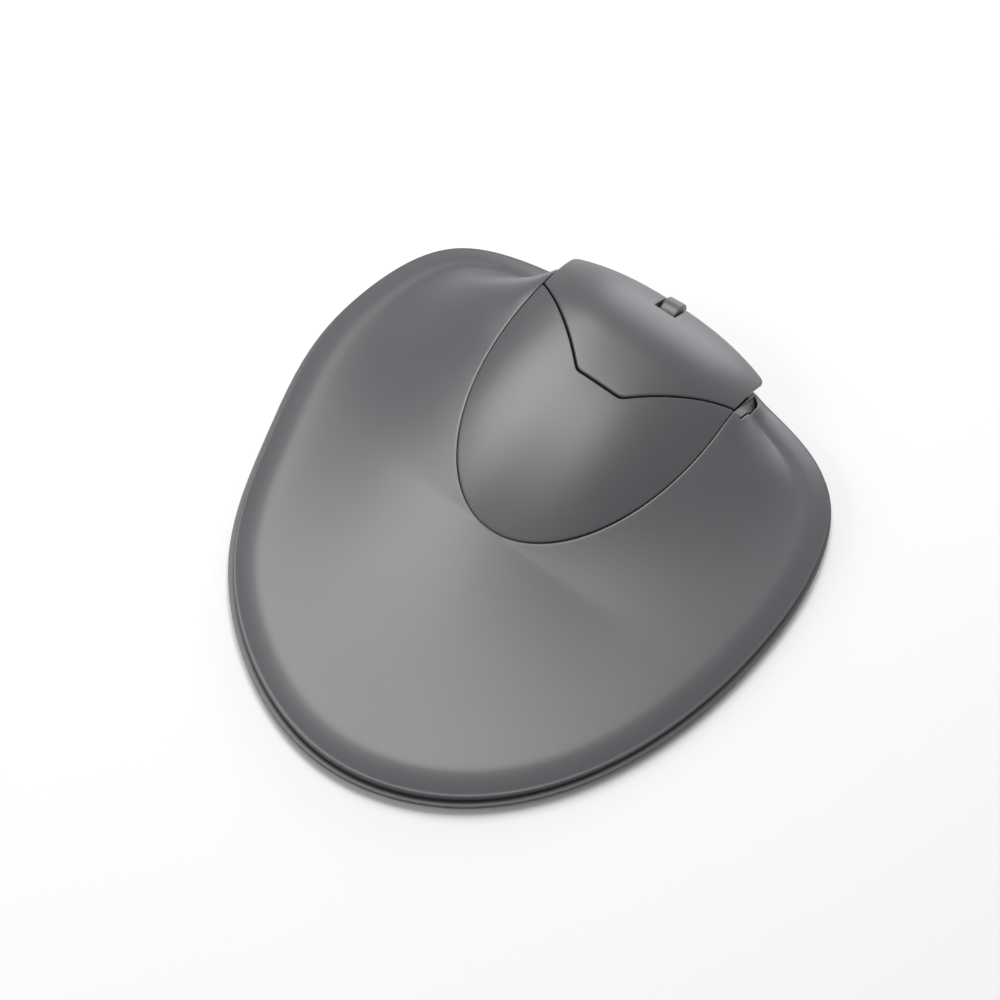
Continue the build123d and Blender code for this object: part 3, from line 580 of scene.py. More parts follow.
@dataclass(frozen=True)
class MasterForm:
    """Shared surfaces of the housing, millimetres: the wing's top, the seam and the body's top."""

    wing_width: Size = 176.4
    wing_length: Size = 191.8
    wing_x: Size = 1.3
    wing_y: Size = -2.1
    wing_shape: tuple[Pair, ...] = (
        (-0.22, 0.998), (0.149, 0.993), (0.537, 0.92), (0.848, 0.772),
        (0.986, 0.462), (0.988, 0.102), (0.898, -0.31), (0.712, -0.667),
        (0.459, -0.896), (0.102, -1), (-0.289, -0.898), (-0.62, -0.627),
        (-0.827, -0.238), (-0.974, 0.168), (-0.991, 0.54), (-0.888, 0.826))
    rim_span: int = 90
    rim_batch: int = 2000
    rim_z: Size = 5.2
    flange_rise: Size = 2.0
    shoulder_width: Size = 9.0
    shoulder_power: float = 1.45
    body_x: Size = 4.3
    tail_y: Size = -15.0
    seat_y: Size = 57.0
    body_half_width: Size = 36.8
    body_front_y: Size = 94.5
    front_bow: Size = 4.8
    front_corner: Size = 3.0
    front_samples: tuple[int, int] = (120, 24)
    settling_rounds: int = 12
    side_flare: float = 0.06
    tail_seam_z: Size = 11.5
    seam_slope: float = 0.13
    body_lean: float = 0.1
    nose_start_y: Size = 58.0
    nose_radius: Size = 49.0
    tail_power: float = 2.05
    crown_mid: Size = 7.15
    crown_front: Size = 5.95
    crown_power: float = 2.5
    crown_swell: Pair = (90.0, 30.0)
    cove_end: Pair = (90.0, 79.0)
    cove_turn: Pair = (30.0, 66.0)
    cove_rear_shape: float = 1.0
    cove_front_shape: float = 2.0
    cove_undercut: float = 0.3
    cove_inner_run: Size = 10.0
    least_room: Size = 3.0
    least_share: float = 0.01
    notch_y: Size = 66.0
    notch_step: Size = 3.0
    notch_setback: Size = 7.0
    notch_corner: Size = 5.0
    side_samples: int = 40
    step_samples: int = 8
    cheek_samples: int = 16
    tail_samples: int = 400
    seam_gap: Size = 0.18
    plate_gap: Size = 0.5
    vee_y: Size = 41.4
    vee_half_flat: Size = 8.1
    vee_arm_y: Size = 66.7
    vee_arm_bulge: Size = -0.8
    vee_gap: Size = 0.9
    vee_corner: Size = 2.0
    vee_sharpness: float = 2.56
    vee_arm_samples: int = 160
    vee_beyond: Size = 40.0
    vee_beyond_samples: int = 20
    vee_samples: int = 1600
    vee_window: int = 60
    cover_wall: Size = 2.2

    @property
    def tail_reach(self) -> Size:
        """Length of the half ellipse at the tail."""
        return self.seat_y - self.tail_y

    @property
    def middle(self) -> Array:
        """Plan point on the body's middle line."""
        return np.array([self.body_x, 0.0])

    def rim(self) -> Array:
        """Outline of the wing.

        Returns:
            Dense points, clockwise.
        """
        half = np.array([self.wing_width, self.wing_length]) / 2
        points = np.array(self.wing_shape) * half
        raw = closed_spline(points, self.rim_span)
        low, high = raw.min(axis=0), raw.max(axis=0)
        scaled = (points - (low + high) / 2) * (2 * half / (high - low))
        return closed_spline(np.array([self.wing_x, self.wing_y]) + scaled, self.rim_span)

    def rim_distance(self, places: Array) -> Array:
        """Distance inside the wing's outline.

        Args:
            places: Plan points, one per row.

        Returns:
            Distance of each place.
        """
        rim = self.rim()
        normals = inward_normals(rim)
        result = []
        for part in np.array_split(places, 1 + len(places) // self.rim_batch):
            gaps = part[:, None, :] - rim[None, :, :]
            nearest = np.argmin((gaps**2).sum(axis=2), axis=1)
            result.append((gaps[np.arange(len(part)), nearest] * normals[nearest]).sum(axis=1))
        return np.concatenate(result)

    def seam_height(self, places: Array) -> Array:
        """Height of the seam between body and wing.

        Args:
            places: Plan points, one per row.

        Returns:
            Height at each place.
        """
        x, y = places.T
        climb = self.seam_slope * np.maximum(0.0, y - self.tail_y)
        dive = np.maximum(0.0, y - self.nose_start_y) ** 2 / (2 * self.nose_radius)
        return self.tail_seam_z + climb - dive - self.body_lean * (x - self.body_x)

    def seam_distance(self, places: Array) -> Array:
        """Distance outside the body's seam.

        Args:
            places: Plan points, one per row.

        Returns:
            Distance of each place, negative inside.
        """
        across = places[:, 0] - self.body_x
        back = np.maximum(0.0, self.seat_y - places[:, 1])
        tail = (back / self.tail_reach) ** self.tail_power
        share = np.sqrt((across / self.body_half_width) ** 2 + tail)
        return np.hypot(across, back) * (1 - 1 / np.maximum(share, self.least_share))

    def wing_height(self, places: Array) -> Array:
        """Height of the wing's top: rim, shoulder, flange and the cove up to the body.

        Args:
            places: Plan points, one per row.

        Returns:
            Height at each place.
        """
        y = places[:, 1]
        inside = self.rim_distance(places)
        short = 1 - np.minimum(1.0, inside / self.shoulder_width)
        shoulder = self.rim_z + self.flange_rise * (1 - short**self.shoulder_power)
        outside = self.seam_distance(places)
        room = np.maximum(self.least_room, inside - self.shoulder_width)
        step = np.clip(outside / np.maximum(self.least_room, outside + room), 0.0, 1.0)
        step += np.clip(outside / self.cove_inner_run, -self.cove_undercut, 0.0)
        turned = ease(y, *self.cove_turn)
        shape = self.cove_rear_shape + (self.cove_front_shape - self.cove_rear_shape) * turned
        cove = (1 - step) ** 2 * (1 + shape * step) * ease(y, *self.cove_end)
        return shoulder + (self.seam_height(places) - self.rim_z - self.flange_rise) * cove

    def body_height(self, places: Array) -> Array:
        """Height of the body's top: the seam's height and a crown over it.

        Args:
            places: Plan points, one per row.

        Returns:
            Height at each place.
        """
        x, y = places.T
        across = (x - self.body_x) / self.side_reach(y, self.body_half_width)
        back = np.maximum(0.0, self.seat_y - y) / self.tail_reach
        crown = self.crown_front + (self.crown_mid - self.crown_front) * ease(y, *self.crown_swell)
        room = 1 - np.abs(across) ** self.crown_power - back**self.tail_power
        return self.seam_height(places) + crown * room

    def side_reach(self, y: Array, half: Size) -> Array:
        """Half width at each place along the mouse, flared in front of the notch."""
        return half + self.side_flare * np.maximum(0.0, y - self.notch_y)

    def tail(self, half: Size, reach: Size, count: int) -> Array:
        """Right half of the tail, about the middle line.

        Args:
            half: Half of its width.
            reach: Its length.
            count: Number of points.

        Returns:
            Points from its widest place to its end.
        """
        turns = np.linspace(0, QUARTER, count)
        back = self.seat_y - reach * np.sin(turns) ** (2 / self.tail_power)
        return np.stack([half * np.cos(turns), back], axis=1)

    def front_edge(self, half: Size, front_y: Size, corner: Size) -> Array:
        """Right half of a bowed front edge with its rounded corner.

        Args:
            half: Half of the width behind the flare.
            front_y: Foremost point.
            corner: Radius of the corner.

        Returns:
            Points from the middle to the straight side.
        """
        side_y = front_y - self.front_bow
        wide = float(self.side_reach(side_y, half))
        radius = (wide**2 + self.front_bow**2) / (2 * self.front_bow)
        low = front_y - radius
        lean = math.atan(self.side_flare)
        y = side_y - corner
        for _ in range(self.settling_rounds):
            x = wide + self.side_flare * (y - side_y) - corner / math.cos(lean)
            y = low + math.sqrt((radius - corner) ** 2 - x**2)
        turn = math.atan2(x, y - low)
        bow = np.linspace(0, turn, self.front_samples[0])
        bend = np.linspace(turn, QUARTER + lean, self.front_samples[1])[1:]
        return np.vstack([
            rays((0.0, low), QUARTER - bow, radius), rays((x, y), QUARTER - bend, corner)])

    def opening(self, outset: Size) -> Array:
        """Hole that the wing leaves for the body, clockwise from the foremost point.

        Args:
            outset: Distance outside the body.

        Returns:
            Points of the opening.
        """
        half = self.body_half_width + outset
        shift = np.array([self.notch_step / 2, 0.0])
        step_y = self.notch_y - outset
        front_y = self.body_front_y - self.notch_setback + outset
        front = self.front_edge(half + shift[0], front_y, self.notch_corner + outset)
        side_ys = np.linspace(front[-1, 1], step_y, self.side_samples)[1:]
        side = np.stack([self.side_reach(side_ys, half + shift[0]), side_ys], axis=1)
        notch = np.vstack([front, side])
        step_xs = np.linspace(half + self.notch_step, half, self.step_samples)[1:]
        step = [(x, step_y) for x in step_xs]
        cheek = [(half, y) for y in np.linspace(step_y, self.seat_y, self.cheek_samples)[1:]]
        tail = self.tail(half, self.tail_reach + outset, self.tail_samples)[1:]
        rear = np.vstack([cheek, tail])
        right = np.vstack([notch + shift, step, rear])
        left = np.vstack([rear[:-1][::-1] * MIRROR, notch[1:][::-1] * MIRROR + shift])
        return np.vstack([right, left]) + self.middle

    def vee_line(self, shift: Size, inset: Size) -> Array:
        """Seam of V shape about the body's middle line.

        Args:
            shift: Move along the mouse.
            inset: Move at a right angle to the line, forwards if positive.

        Returns:
            Points from far left to far right.
        """
        start = np.array([self.vee_half_flat, self.vee_y])
        end = np.array([self.body_half_width, self.vee_arm_y])
        middle = (start + end) / 2 - self.vee_arm_bulge * MIRROR
        t = np.linspace(0, 1, self.vee_arm_samples)[:, None]
        knee = 2 * middle - (start + end) / 2
        arm = (1 - t) ** 2 * start + 2 * t * (1 - t) * knee + t**2 * end
        beyond = np.linspace(1, self.vee_beyond, self.vee_beyond_samples)[:, None]
        right = np.vstack([[(0.0, self.vee_y)], arm, end + (arm[-1] - arm[-2]) * beyond])
        line = np.vstack([right[::-1] * MIRROR, right[1:]])
        xs = np.linspace(line[0, 0], line[-1, 0], self.vee_samples)
        ys = np.interp(xs, line[:, 0], line[:, 1])
        reach = np.arange(-self.vee_window, self.vee_window + 1) * (xs[1] - xs[0])
        kernel = np.exp(-0.5 * (reach * self.vee_sharpness / self.vee_corner) ** 2)
        padded = np.pad(ys, self.vee_window, mode="edge")
        smooth = np.convolve(padded, kernel / kernel.sum(), mode="valid")
        line = np.stack([xs, smooth + shift], axis=1)
        along = unit(np.gradient(line, axis=0))
        return line + inset * np.stack([-along[:, 1], along[:, 0]], axis=1)


# Meshes


@dataclass
class MeshDraft:
    """Vertices and faces of a piece while it is being put together, millimetres."""

    name: str
    vertices: list[Array] = field(default_factory=list)
    faces: list[tuple[int, ...]] = field(default_factory=list)
    count: int = 0

    def add(self, places: Array, heights: Array | Size) -> Array:
        """Add vertices.

        Args:
            places: Plan points, one per row.
            heights: Height of each, or of all.

        Returns:
            Their numbers.
        """
        self.vertices.append(np.column_stack([places, np.full(len(places), heights)]))
        self.count += len(places)
        return np.arange(self.count - len(places), self.count)

    def loft(self, rings: list[Array]) -> None:
        """Join each closed ring to the next with four-sided faces.

        Args:
            rings: Vertex numbers of each ring, all of one length.
        """
        for first, second in zip(rings, rings[1:]):
            corners = (first, np.roll(first, -1), np.roll(second, -1), second)
            self.faces += np.stack(corners, axis=1).tolist()

    def fan(self, ring: Array, tip: Array) -> None:
        """Join a closed ring to one point."""
        self.faces += [(int(a), int(b), int(tip[0])) for a, b in zip(ring, np.roll(ring, -1))]

    def piece(self) -> Piece:
        """Turn the draft into a smooth object with even shading.

        Returns:
            Mesh object in metres, linked to the scene.
        """
        mesh = bpy.data.meshes.new(self.name)
        mesh.from_pydata((np.vstack(self.vertices) * MM).tolist(), [], self.faces)
        mesh.validate()
        mesh.shade_smooth()
        mesh.set_sharp_from_angle(angle=SHARP)
        made = placed(self.name, mesh)
        made.modifiers.new("even_shading", "WEIGHTED_NORMAL").keep_sharp = True
        return made


def placed(name: str, data: bpy.types.ID) -> Piece:
    """Link a new object to the scene.

    Args:
        name: Name of the object.
        data: Its mesh, lamp or camera.

    Returns:
        The object.
    """
    made = bpy.data.objects.new(name, data)
    bpy.context.scene.collection.objects.link(made)
    return made


def radial(line: Array, centre: Array, angles: Array, closed: bool) -> Array:
    """Radius of a star-shaped line, very far behind the ends of an open one.

    Args:
        line: Points of the line.
        centre: Middle of the star.
        angles: Directions in radians.
        closed: Whether the line goes all the way round.

    Returns:
        Radius along each direction.
    """
    spokes = line - centre
    turns = np.arctan2(spokes[:, 1], spokes[:, 0])
    order = np.argsort(turns)
    lengths = np.linalg.norm(spokes, axis=1)[order]
    if closed:
        return np.interp(angles, turns[order], lengths, period=CIRCLE)
    angles = np.mod(angles + math.pi, CIRCLE) - math.pi
    return np.interp(angles, turns[order], lengths, left=FAR, right=FAR)


def rays(centre: Array, angles: Array, radii: Array | Size) -> Array:
    """Points at angles about a centre, with one radius or one for each."""
    return centre + np.reshape(radii, (-1, 1)) * np.stack([np.cos(angles), np.sin(angles)], axis=1)


@dataclass
class PalmWing:
    """Top moulding of the palm wing: lip, shoulder band, flange, and the cove up to the body."""

    form: MasterForm
    centre_y: Size = 70.0
    skin_inset: Size = 1.4
    tongue_inset: Size = 2.2
    tongue_wall: Size = 1.6
    tongue_bottom_z: Size = 2.6
    skin_edge_z: Size = 3.8
    skin_wall: Size = 2.0
    skirt_depth: Size = 4.4
    skirt_wall: Size = 1.5
    lip_corner: Size = 0.2
    lip_bevel: Size = 0.06
    lip_round: Size = 0.4
    lip_bead: Size = 0.75
    bead_flat: Pair = (0.02, 0.05)
    seam_round: Size = 0.16
    seam_land: Size = 0.55
    wall_step: Size = 1.2
    path_pull: float = 0.38
    soft_reach: int = 9
    columns: int = 420
    first_turn: float = 0.004
    least_turn: float = 0.006
    step_columns: int = 5
    round_rows: int = 5
    rows: int = 52
    clustering: float = 1.9
    under_rows: tuple[float, ...] = (0.0, 0.1, 0.25, 0.45, 0.7, 0.9, 1.0)

    def angles(self, centre: Array) -> Array:
        """Directions of the columns, denser at the notch's step.

        Args:
            centre: Point that sees the rim and the opening.

        Returns:
            Angles, clockwise.
        """
        form = self.form
        even = np.linspace(0, CIRCLE, self.columns, endpoint=False) + self.first_turn
        step_x = np.linspace(0, 1, self.step_columns) * form.notch_step
        step_x += form.body_half_width + form.seam_gap / 2
        extra = np.arctan2(form.notch_y - form.seam_gap / 2 - centre[1], step_x)
        gaps = np.abs(np.mod(even[:, None] - extra + math.pi, CIRCLE) - math.pi).min(axis=1)
        return np.sort(np.concatenate([even[gaps > self.least_turn], np.mod(extra, CIRCLE)]))[::-1]

    def build(self) -> Piece:
        """Build the wing's mesh as rings: tongue, lip, top, seam, collar and underside.

        Returns:
            Mesh object.
        """
        form, draft = self.form, MeshDraft("palm_wing")
        centre = np.array([form.body_x, self.centre_y])
        angles = self.angles(centre)
        rim = rays(centre, angles, radial(form.rim(), centre, angles, True))
        hole = rays(centre, angles, radial(form.opening(form.seam_gap / 2), centre, angles, True))
        rim_in, hole_out = inward_normals(rim), -inward_normals(hole)
        bead_in = self.skin_inset + self.lip_bead
        bead_top = form.wing_height(rim + bead_in * rim_in)
        rings = [(rim + inset * rim_in, z) for inset, z in self.lip_profile(bead_top)]
        start = rim + (bead_in + self.bead_flat[1]) * rim_in
        end = hole + self.seam_land * hole_out
        paths = self.paths(start, end, rim_in, hole_out)
        rings += [(place, form.wing_height(place)) for place in paths]
        land = form.wing_height(end)
        profile = rounding(self.seam_round, self.round_rows)
        profile += [(0.0, self.wall_step), (0.0, self.skirt_depth)]
        rings += [(hole + inset * hole_out, land - drop) for inset, drop in profile]
        near = hole + self.skirt_wall * unit(hole - centre)
        far = rim + (self.tongue_inset + self.tongue_wall) * rim_in
        rings.append((near, form.wing_height(near) - self.skirt_depth))
        for t in self.under_rows:
            place = (1 - t) * near + t * far
            rings.append((place, form.wing_height(place) - self.skin_wall))
        rings.append((far, self.tongue_bottom_z))
        numbers = [draft.add(place, height) for place, height in rings]
        draft.loft(numbers + numbers[:1])
        return draft.piece()

    def lip_profile(self, top: Array) -> list[tuple[Size, Size | Array]]:
        """Section of the lip, from the tongue out and round the bead up to the top.

        Args:
            top: Height of the bead's top at each column.

        Returns:
            Pairs of inset and height.
        """
        low, lip, corner = self.skin_edge_z, self.skin_inset, self.lip_corner
        bend = rounding(self.lip_round, self.round_rows)[::-1]
        return [
            (self.tongue_inset, self.tongue_bottom_z), (self.tongue_inset, low),
            (lip + corner, low), (lip + self.lip_bevel, low + self.lip_bevel), (lip, low + corner),
            *((lip + inset, top - drop) for inset, drop in bend),
            (lip + self.lip_bead - self.bead_flat[0], top)]

    def paths(
        self, start: Array, end: Array, rim_in: Array, hole_out: Array
    ) -> list[Array]:
        """Rings over the top, along curves that leave both edges at a right angle.

        Args:
            start: Inner edge of the lip's bead.
            end: Outer edge of the land at the seam.
            rim_in: Normals into the wing at the rim.
            hole_out: Normals into the wing at the opening.

        Returns:
            Plan points of each ring after the first.
        """
        pull = self.path_pull * np.linalg.norm(end - start, axis=1)[:, None]
        near = range(-self.soft_reach, self.soft_reach + 1)
        first = start + pull * rim_in
        last = end + pull * unit(sum(np.roll(hole_out, shift, axis=0) for shift in near))
        rows = np.tanh(np.linspace(-1, 1, self.rows)[1:] * self.clustering)
        return [
            (1 - t) ** 3 * start + 3 * t * (1 - t) * ((1 - t) * first + t * last) + t**3 * end
            for t in 0.5 + 0.5 * rows / math.tanh(self.clustering)]


@dataclass
class RearCover:
    """Palm hump: the rear shell from the tail to the seam of V shape."""

    form: MasterForm
    centre_y: Size = 24.0
    side_end_y: Size = 110.0
    corner_soft: Size = 0.35
    edge_round: Size = 0.35
    side_depth: Size = 4.4
    vee_depth: Size = 2.4
    skirt_wall: Size = 1.5
    side_samples: int = 300
    tail_samples: int = 500
    rough_columns: int = 4000
    columns: int = 420
    round_rows: int = 6
    under_rows: tuple[float, ...] = (1.0, 0.75, 0.4)
    rows: tuple[float, ...] = (
        0.06, 0.12, 0.19, 0.26, 0.33, 0.40, 0.47, 0.54, 0.61,
        0.68, 0.74, 0.80, 0.85, 0.90, 0.94, 0.97, 0.99)

    @property
    def centre(self) -> Array:
        """Point that the whole outline can be seen from."""
        return np.array([self.form.body_x, self.centre_y])

    def outline(self, angles: Array, inset: Size) -> tuple[Array, Array]:
        """Outline of the cover at one inset.

        Args:
            angles: Directions about the centre.
            inset: Distance inside the outer edge.

        Returns:
            Points, and a mask that is 1 on the seam of V shape.
        """
        form, soft = self.form, self.corner_soft
        half = form.body_half_width - form.seam_gap / 2 - inset
        reach = form.tail_reach - form.seam_gap / 2 - inset
        side_ys = np.linspace(self.side_end_y, form.seat_y, self.side_samples)[:-1]
        side = [(half, y) for y in side_ys]
        right = np.vstack([side, form.tail(half, reach, self.tail_samples)])
        plan = np.vstack([right, right[::-1] * MIRROR]) + form.middle
        side_radius = radial(plan, self.centre, angles, True)
        vee = form.vee_line(-form.vee_gap / 2, -inset) + form.middle
        vee_radius = radial(vee, self.centre, angles, False)
        lead = np.clip(0.5 + (vee_radius - side_radius) / (4 * soft), 0, 1)
        bend = soft * np.exp(-np.abs(side_radius - vee_radius) / soft)
        return rays(self.centre, angles, np.minimum(side_radius, vee_radius) - bend), 1 - lead

    def angles(self) -> Array:
        """Directions spaced evenly along the outline.

        Returns:
            Angles, clockwise.
        """
        rough = np.linspace(0, CIRCLE, self.rough_columns + 1)
        loop, _ = self.outline(rough[:-1], 0.0)
        steps = np.linalg.norm(np.roll(loop, -1, axis=0) - loop, axis=1)
        length = np.concatenate([[0.0], np.cumsum(steps)])
        wanted = np.linspace(0, length[-1], self.columns, endpoint=False)
        return np.interp(wanted, length, rough)[::-1]

    def build(self) -> Piece:
        """Build the cover's mesh.

        Returns:
            Mesh object.
        """
        form, centre, angles = self.form, self.centre, self.angles()
        draft = MeshDraft("palm_cover")
        inner, _ = self.outline(angles, self.edge_round)
        top = [(centre + share * (inner - centre), 0.0) for share in self.rows]
        bend = rounding(self.edge_round, self.round_rows)
        top += [(self.outline(angles, inset)[0], drop) for inset, drop in bend]
        edge, on_vee = self.outline(angles, 0.0)
        wall, _ = self.outline(angles, self.skirt_wall)
        low = form.body_height(edge) - self.side_depth - (self.vee_depth - self.side_depth) * on_vee
        under = [(centre + t * (wall - centre), form.cover_wall) for t in self.under_rows]
        rings = [draft.add(place, form.body_height(place) - drop) for place, drop in top]
        rings += [draft.add(edge, low), draft.add(wall, low)]
        rings += [draft.add(place, form.body_height(place) - drop) for place, drop in under]
        draft.loft(rings)
        tip = form.body_height(centre[None, :])
        draft.fan(rings[0][::-1], draft.add(centre[None, :], tip))
        draft.fan(rings[-1], draft.add(centre[None, :], tip - form.cover_wall))
        return draft.piece()


@dataclass
class ButtonPlate:
    """One-piece button plate in front of the seam of V shape, with the wheel's slot."""

    form: MasterForm
    slot_half: Size = 3.8
    slot_start_y: Size = 83.5
    edge_round: Size = 0.5
    least_corner: Size = 0.8
    skirt_drop: Size = 1.0
    skirt_wall: Size = 1.5
    lip_depth: Size = 2.35
    even_share: float = 0.35
    side_columns: int = 30
    slot_columns: int = 6
    rear_rows: int = 30
    front_rows: int = 12
    round_rows: int = 6
    settling_rounds: int = 6

    @property
    def last(self) -> tuple[int, int]:
        """Last row and column of the grid."""
        return self.rear_rows + self.front_rows, 2 * self.side_columns + self.slot_columns

    def columns(self, ys: Array, inset: Size) -> Array:
        """Places of the columns across the plate, about its middle.

        Args:
            ys: Place along the mouse of each column.
            inset: Distance inside the plate's edge.

        Returns:
            Place across the mouse of each column.
        """
        edge = self.form.body_half_width - self.form.plate_gap / 2 - inset
        slot = self.slot_half + inset
        place = np.arange(self.last[1] + 1) - self.last[1] / 2
        beyond = np.maximum(0, np.abs(place) - self.slot_columns / 2) / self.side_columns
        blend = self.even_share * beyond + (1 - self.even_share) * np.sin(beyond * QUARTER)
        base = np.clip(place * 2 / self.slot_columns, -1, 1) * slot
        return base + np.sign(place) * blend * (self.form.side_reach(ys, edge) - slot)

    def grid(self, inset: Size) -> Array:
        """Plan points of all rows and columns at one inset.

        Args:
            inset: Distance inside the plate's edge.

        Returns:
            Points as rows, columns and coordinates.
        """
        form, back = self.form, self.form.plate_gap / 2 + inset
        vee = form.vee_line(form.vee_gap / 2, inset)
        corner = max(self.least_corner, form.front_corner - back)
        edge = form.front_edge(form.body_half_width - back, form.body_front_y - back, corner)
        rear = front = np.full(self.last[1] + 1, form.notch_y)
        for _ in range(self.settling_rounds):
            rear = np.interp(self.columns(rear, inset), vee[:, 0], vee[:, 1])
            front = np.interp(np.abs(self.columns(front, inset)), edge[:, 0], edge[:, 1])
            front[[0, -1]] = edge[-1, 1]
        middle = self.slot_start_y - inset
        back_share = np.linspace(0, 1, self.rear_rows + 1)[:, None]
        front_share = np.linspace(0, 1, self.front_rows + 1)[1:, None]
        ys = np.vstack([
            rear + (middle - rear) * back_share, middle + (front - middle) * front_share])
        xs = np.array([self.columns(row, inset) for row in ys])
        return np.stack([xs + form.body_x, ys], axis=2)

    def border(self) -> Array:
        """Grid cells round the edge, clockwise seen from above.

        Returns:
            Rows, then columns, of the cells in order.
        """
        slot, left, (end, last) = self.rear_rows, self.side_columns, self.last
        right = last - left
        corners = np.array([
            (0, 0), (end, 0), (end, left), (slot, left), (slot, right),
            (end, right), (end, last), (0, last), (0, 0)])
        walk = [
            start + np.sign(stop - start) * step
            for start, stop in zip(corners, corners[1:]) for step in range(abs(stop - start).sum())]
        return np.array(walk).T

    def sheet(self, draft: MeshDraft, inset: Size, drop: Size, flip: bool) -> Array:
        """Add the whole top or underside.

        Args:
            draft: Mesh under way.
            inset: Distance inside the plate's edge.
            drop: Depth under the body's top.
            flip: Whether the faces look down.

        Returns:
            Vertex numbers round its edge.
        """
        grid = self.grid(inset)
        row, column = np.indices(grid.shape[:2])
        left, right = self.side_columns, self.side_columns + self.slot_columns
        keep = ~((row > self.rear_rows) & (column > left) & (column < right))
        numbers = np.full(keep.shape, -1)
        numbers[keep] = draft.add(grid[keep], self.form.body_height(grid[keep]) - drop)
        corners = (numbers[:-1, :-1], numbers[:-1, 1:], numbers[1:, 1:], numbers[1:, :-1])
        solid = ~((row >= self.rear_rows) & (column >= left) & (column < right))[:-1, :-1]
        faces = np.stack(corners, axis=2)[solid]
        draft.faces += (faces[:, ::-1] if flip else faces).tolist()
        return numbers[tuple(self.border())]

    def edge(self, inset: Size) -> Array:
        """Plan points round the edge at one inset."""
        return self.grid(inset)[tuple(self.border())]

    def bottom(self, outer: Array) -> Array:
        """Height of the skirt's lower edge at each border point.

        Args:
            outer: Points of the lower edge.

        Returns:
            Height at each point.
        """
        row, column = self.border()
        skirt = self.form.seam_height(outer) - self.skirt_drop
        lip = np.maximum(skirt, self.form.body_height(outer) - self.lip_depth)
        beside = ((column == 0) | (column == self.last[1])) & (row > 0)
        return np.where(beside | (row == self.last[0]), skirt, lip)

    def build(self) -> Piece:
        """Build the plate's mesh.

        Returns:
            Mesh object.
        """
        form, draft = self.form, MeshDraft("button_top")
        rings = [self.sheet(draft, self.edge_round, 0.0, False)]
        for inset, drop in rounding(self.edge_round, self.round_rows)[1:]:
            place = self.edge(inset)
            rings.append(draft.add(place, form.body_height(place) - drop))
        outer, inner = self.edge(0.0), self.edge(self.skirt_wall)
        low = self.bottom(outer)
        rings.append(draft.add(outer, low))
        rings.append(draft.add(inner, np.minimum(low, form.body_height(inner) - self.lip_depth)))
        rings.append(self.sheet(draft, self.skirt_wall, form.cover_wall, True))
        draft.loft(rings)
        return draft.piece()


@dataclass
class ScrollTyre:
    """Smooth tyre of the scroll wheel, turned about its axle."""

    form: MasterForm
    wheel_y: Size = 89.5
    wheel_z: Size = 14.8
    radius: Size = 7.0
    inner_radius: Size = 5.2
    half_width: Size = 3.2
    shoulder: Size = 0.8
    segments: int = 72
    round_rows: int = 7

    def build(self) -> Piece:
        """Build the tyre's mesh.

        Returns:
            Mesh object.
        """
        draft = MeshDraft("wheel_tyre_smooth")
        corner = self.half_width - self.shoulder
        right = [(0.0, self.radius), (corner / 2, self.radius)]
        for x, drop in rounding(self.shoulder, self.round_rows):
            right.append((self.half_width - x, self.radius - drop))
        right.append((self.half_width, self.inner_radius))
        turns = np.linspace(0, CIRCLE, self.segments, endpoint=False)
        rings = []
        for x, r in right + [(-x, r) for x, r in right[:0:-1]]:
            across = np.full(len(turns), self.form.body_x + x)
            places = np.stack([across, self.wheel_y + r * np.cos(turns)], axis=1)
            rings.append(draft.add(places, self.wheel_z + r * np.sin(turns)))
        draft.loft((rings + rings[:1])[::-1])
        return draft.piece()


# The whole mouse


@dataclass(frozen=True)
class CarriedNodes:
    """Nodes that keep their CAD shape: pan, frame, wheel parts, board, cell and controls."""

    slots: tuple[tuple[Slot, str], ...] = (
        (Slot.PAN, "base_pan battery_door"),
        (Slot.FRAME, "body_frame"),
        (Slot.FOOT, "glide_feet"),
        (Slot.SCREW, "wing_screws cover_screws frame_screws board_screws"),
        (Slot.PIN, "plate_pin"),
        (Slot.WHEEL, "wheel_hub"),
        (Slot.SWITCH, "wheel_carrier wheel_encoder wheel_switch left_switch right_switch"),
        (Slot.SWITCH, "power_switch pairing_switch"),
        (Slot.STEM, "wheel_plunger left_plunger right_plunger power_slider pairing_button"),
        (Slot.BOARD, "circuit_board"),
        (Slot.CHIP, "radio_chip sensor_chip"),
        (Slot.CRYSTAL, "clock_crystal"),
        (Slot.LENS, "sensor_lens"),
        (Slot.WRAP, "battery_cell"),
        (Slot.CONTACT, "battery_contacts"),
    )

    def dress(self, finishes: Finishes) -> None:
        """Give each node its finish.

        Args:
            finishes: Materials by slot.
        """
        for slot, names in self.slots:
            for name in names.split():
                finishes.dress(frame["nodes"][name], slot)
                log.info("node %s dressed as %s", name, slot.value)


@dataclass
class Mouse:
    """The mouse: its rebuilt outer pieces and its carried-over nodes."""

    form: MasterForm

    def build(self, finishes: Finishes) -> None:
        """Build, dress and hang every piece.

        Args:
            finishes: Materials by slot.
        """
        makers = (
            (PalmWing(self.form), "wing_skin", Slot.WING),
            (RearCover(self.form), "rear_cover", Slot.SHELL),
            (ButtonPlate(self.form), "button_plate", Slot.SHELL),
            (ScrollTyre(self.form), "wheel_tyre", Slot.TYRE),
        )
        for maker, node, slot in makers:
            piece = maker.build()
            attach(piece, body_of_node(node))
            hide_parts(node)
            finishes.dress(piece, slot)
            log.info("piece %s: %d faces", piece.name, len(piece.data.polygons))
        CarriedNodes().dress(finishes)


def body_of_node(node: str) -> str:
    """Name of the body that a CAD node rides on."""
    parent = frame["nodes"][node].parent
    return next(name for name, empty in frame["bodies"].items() if empty is parent)


# Studio


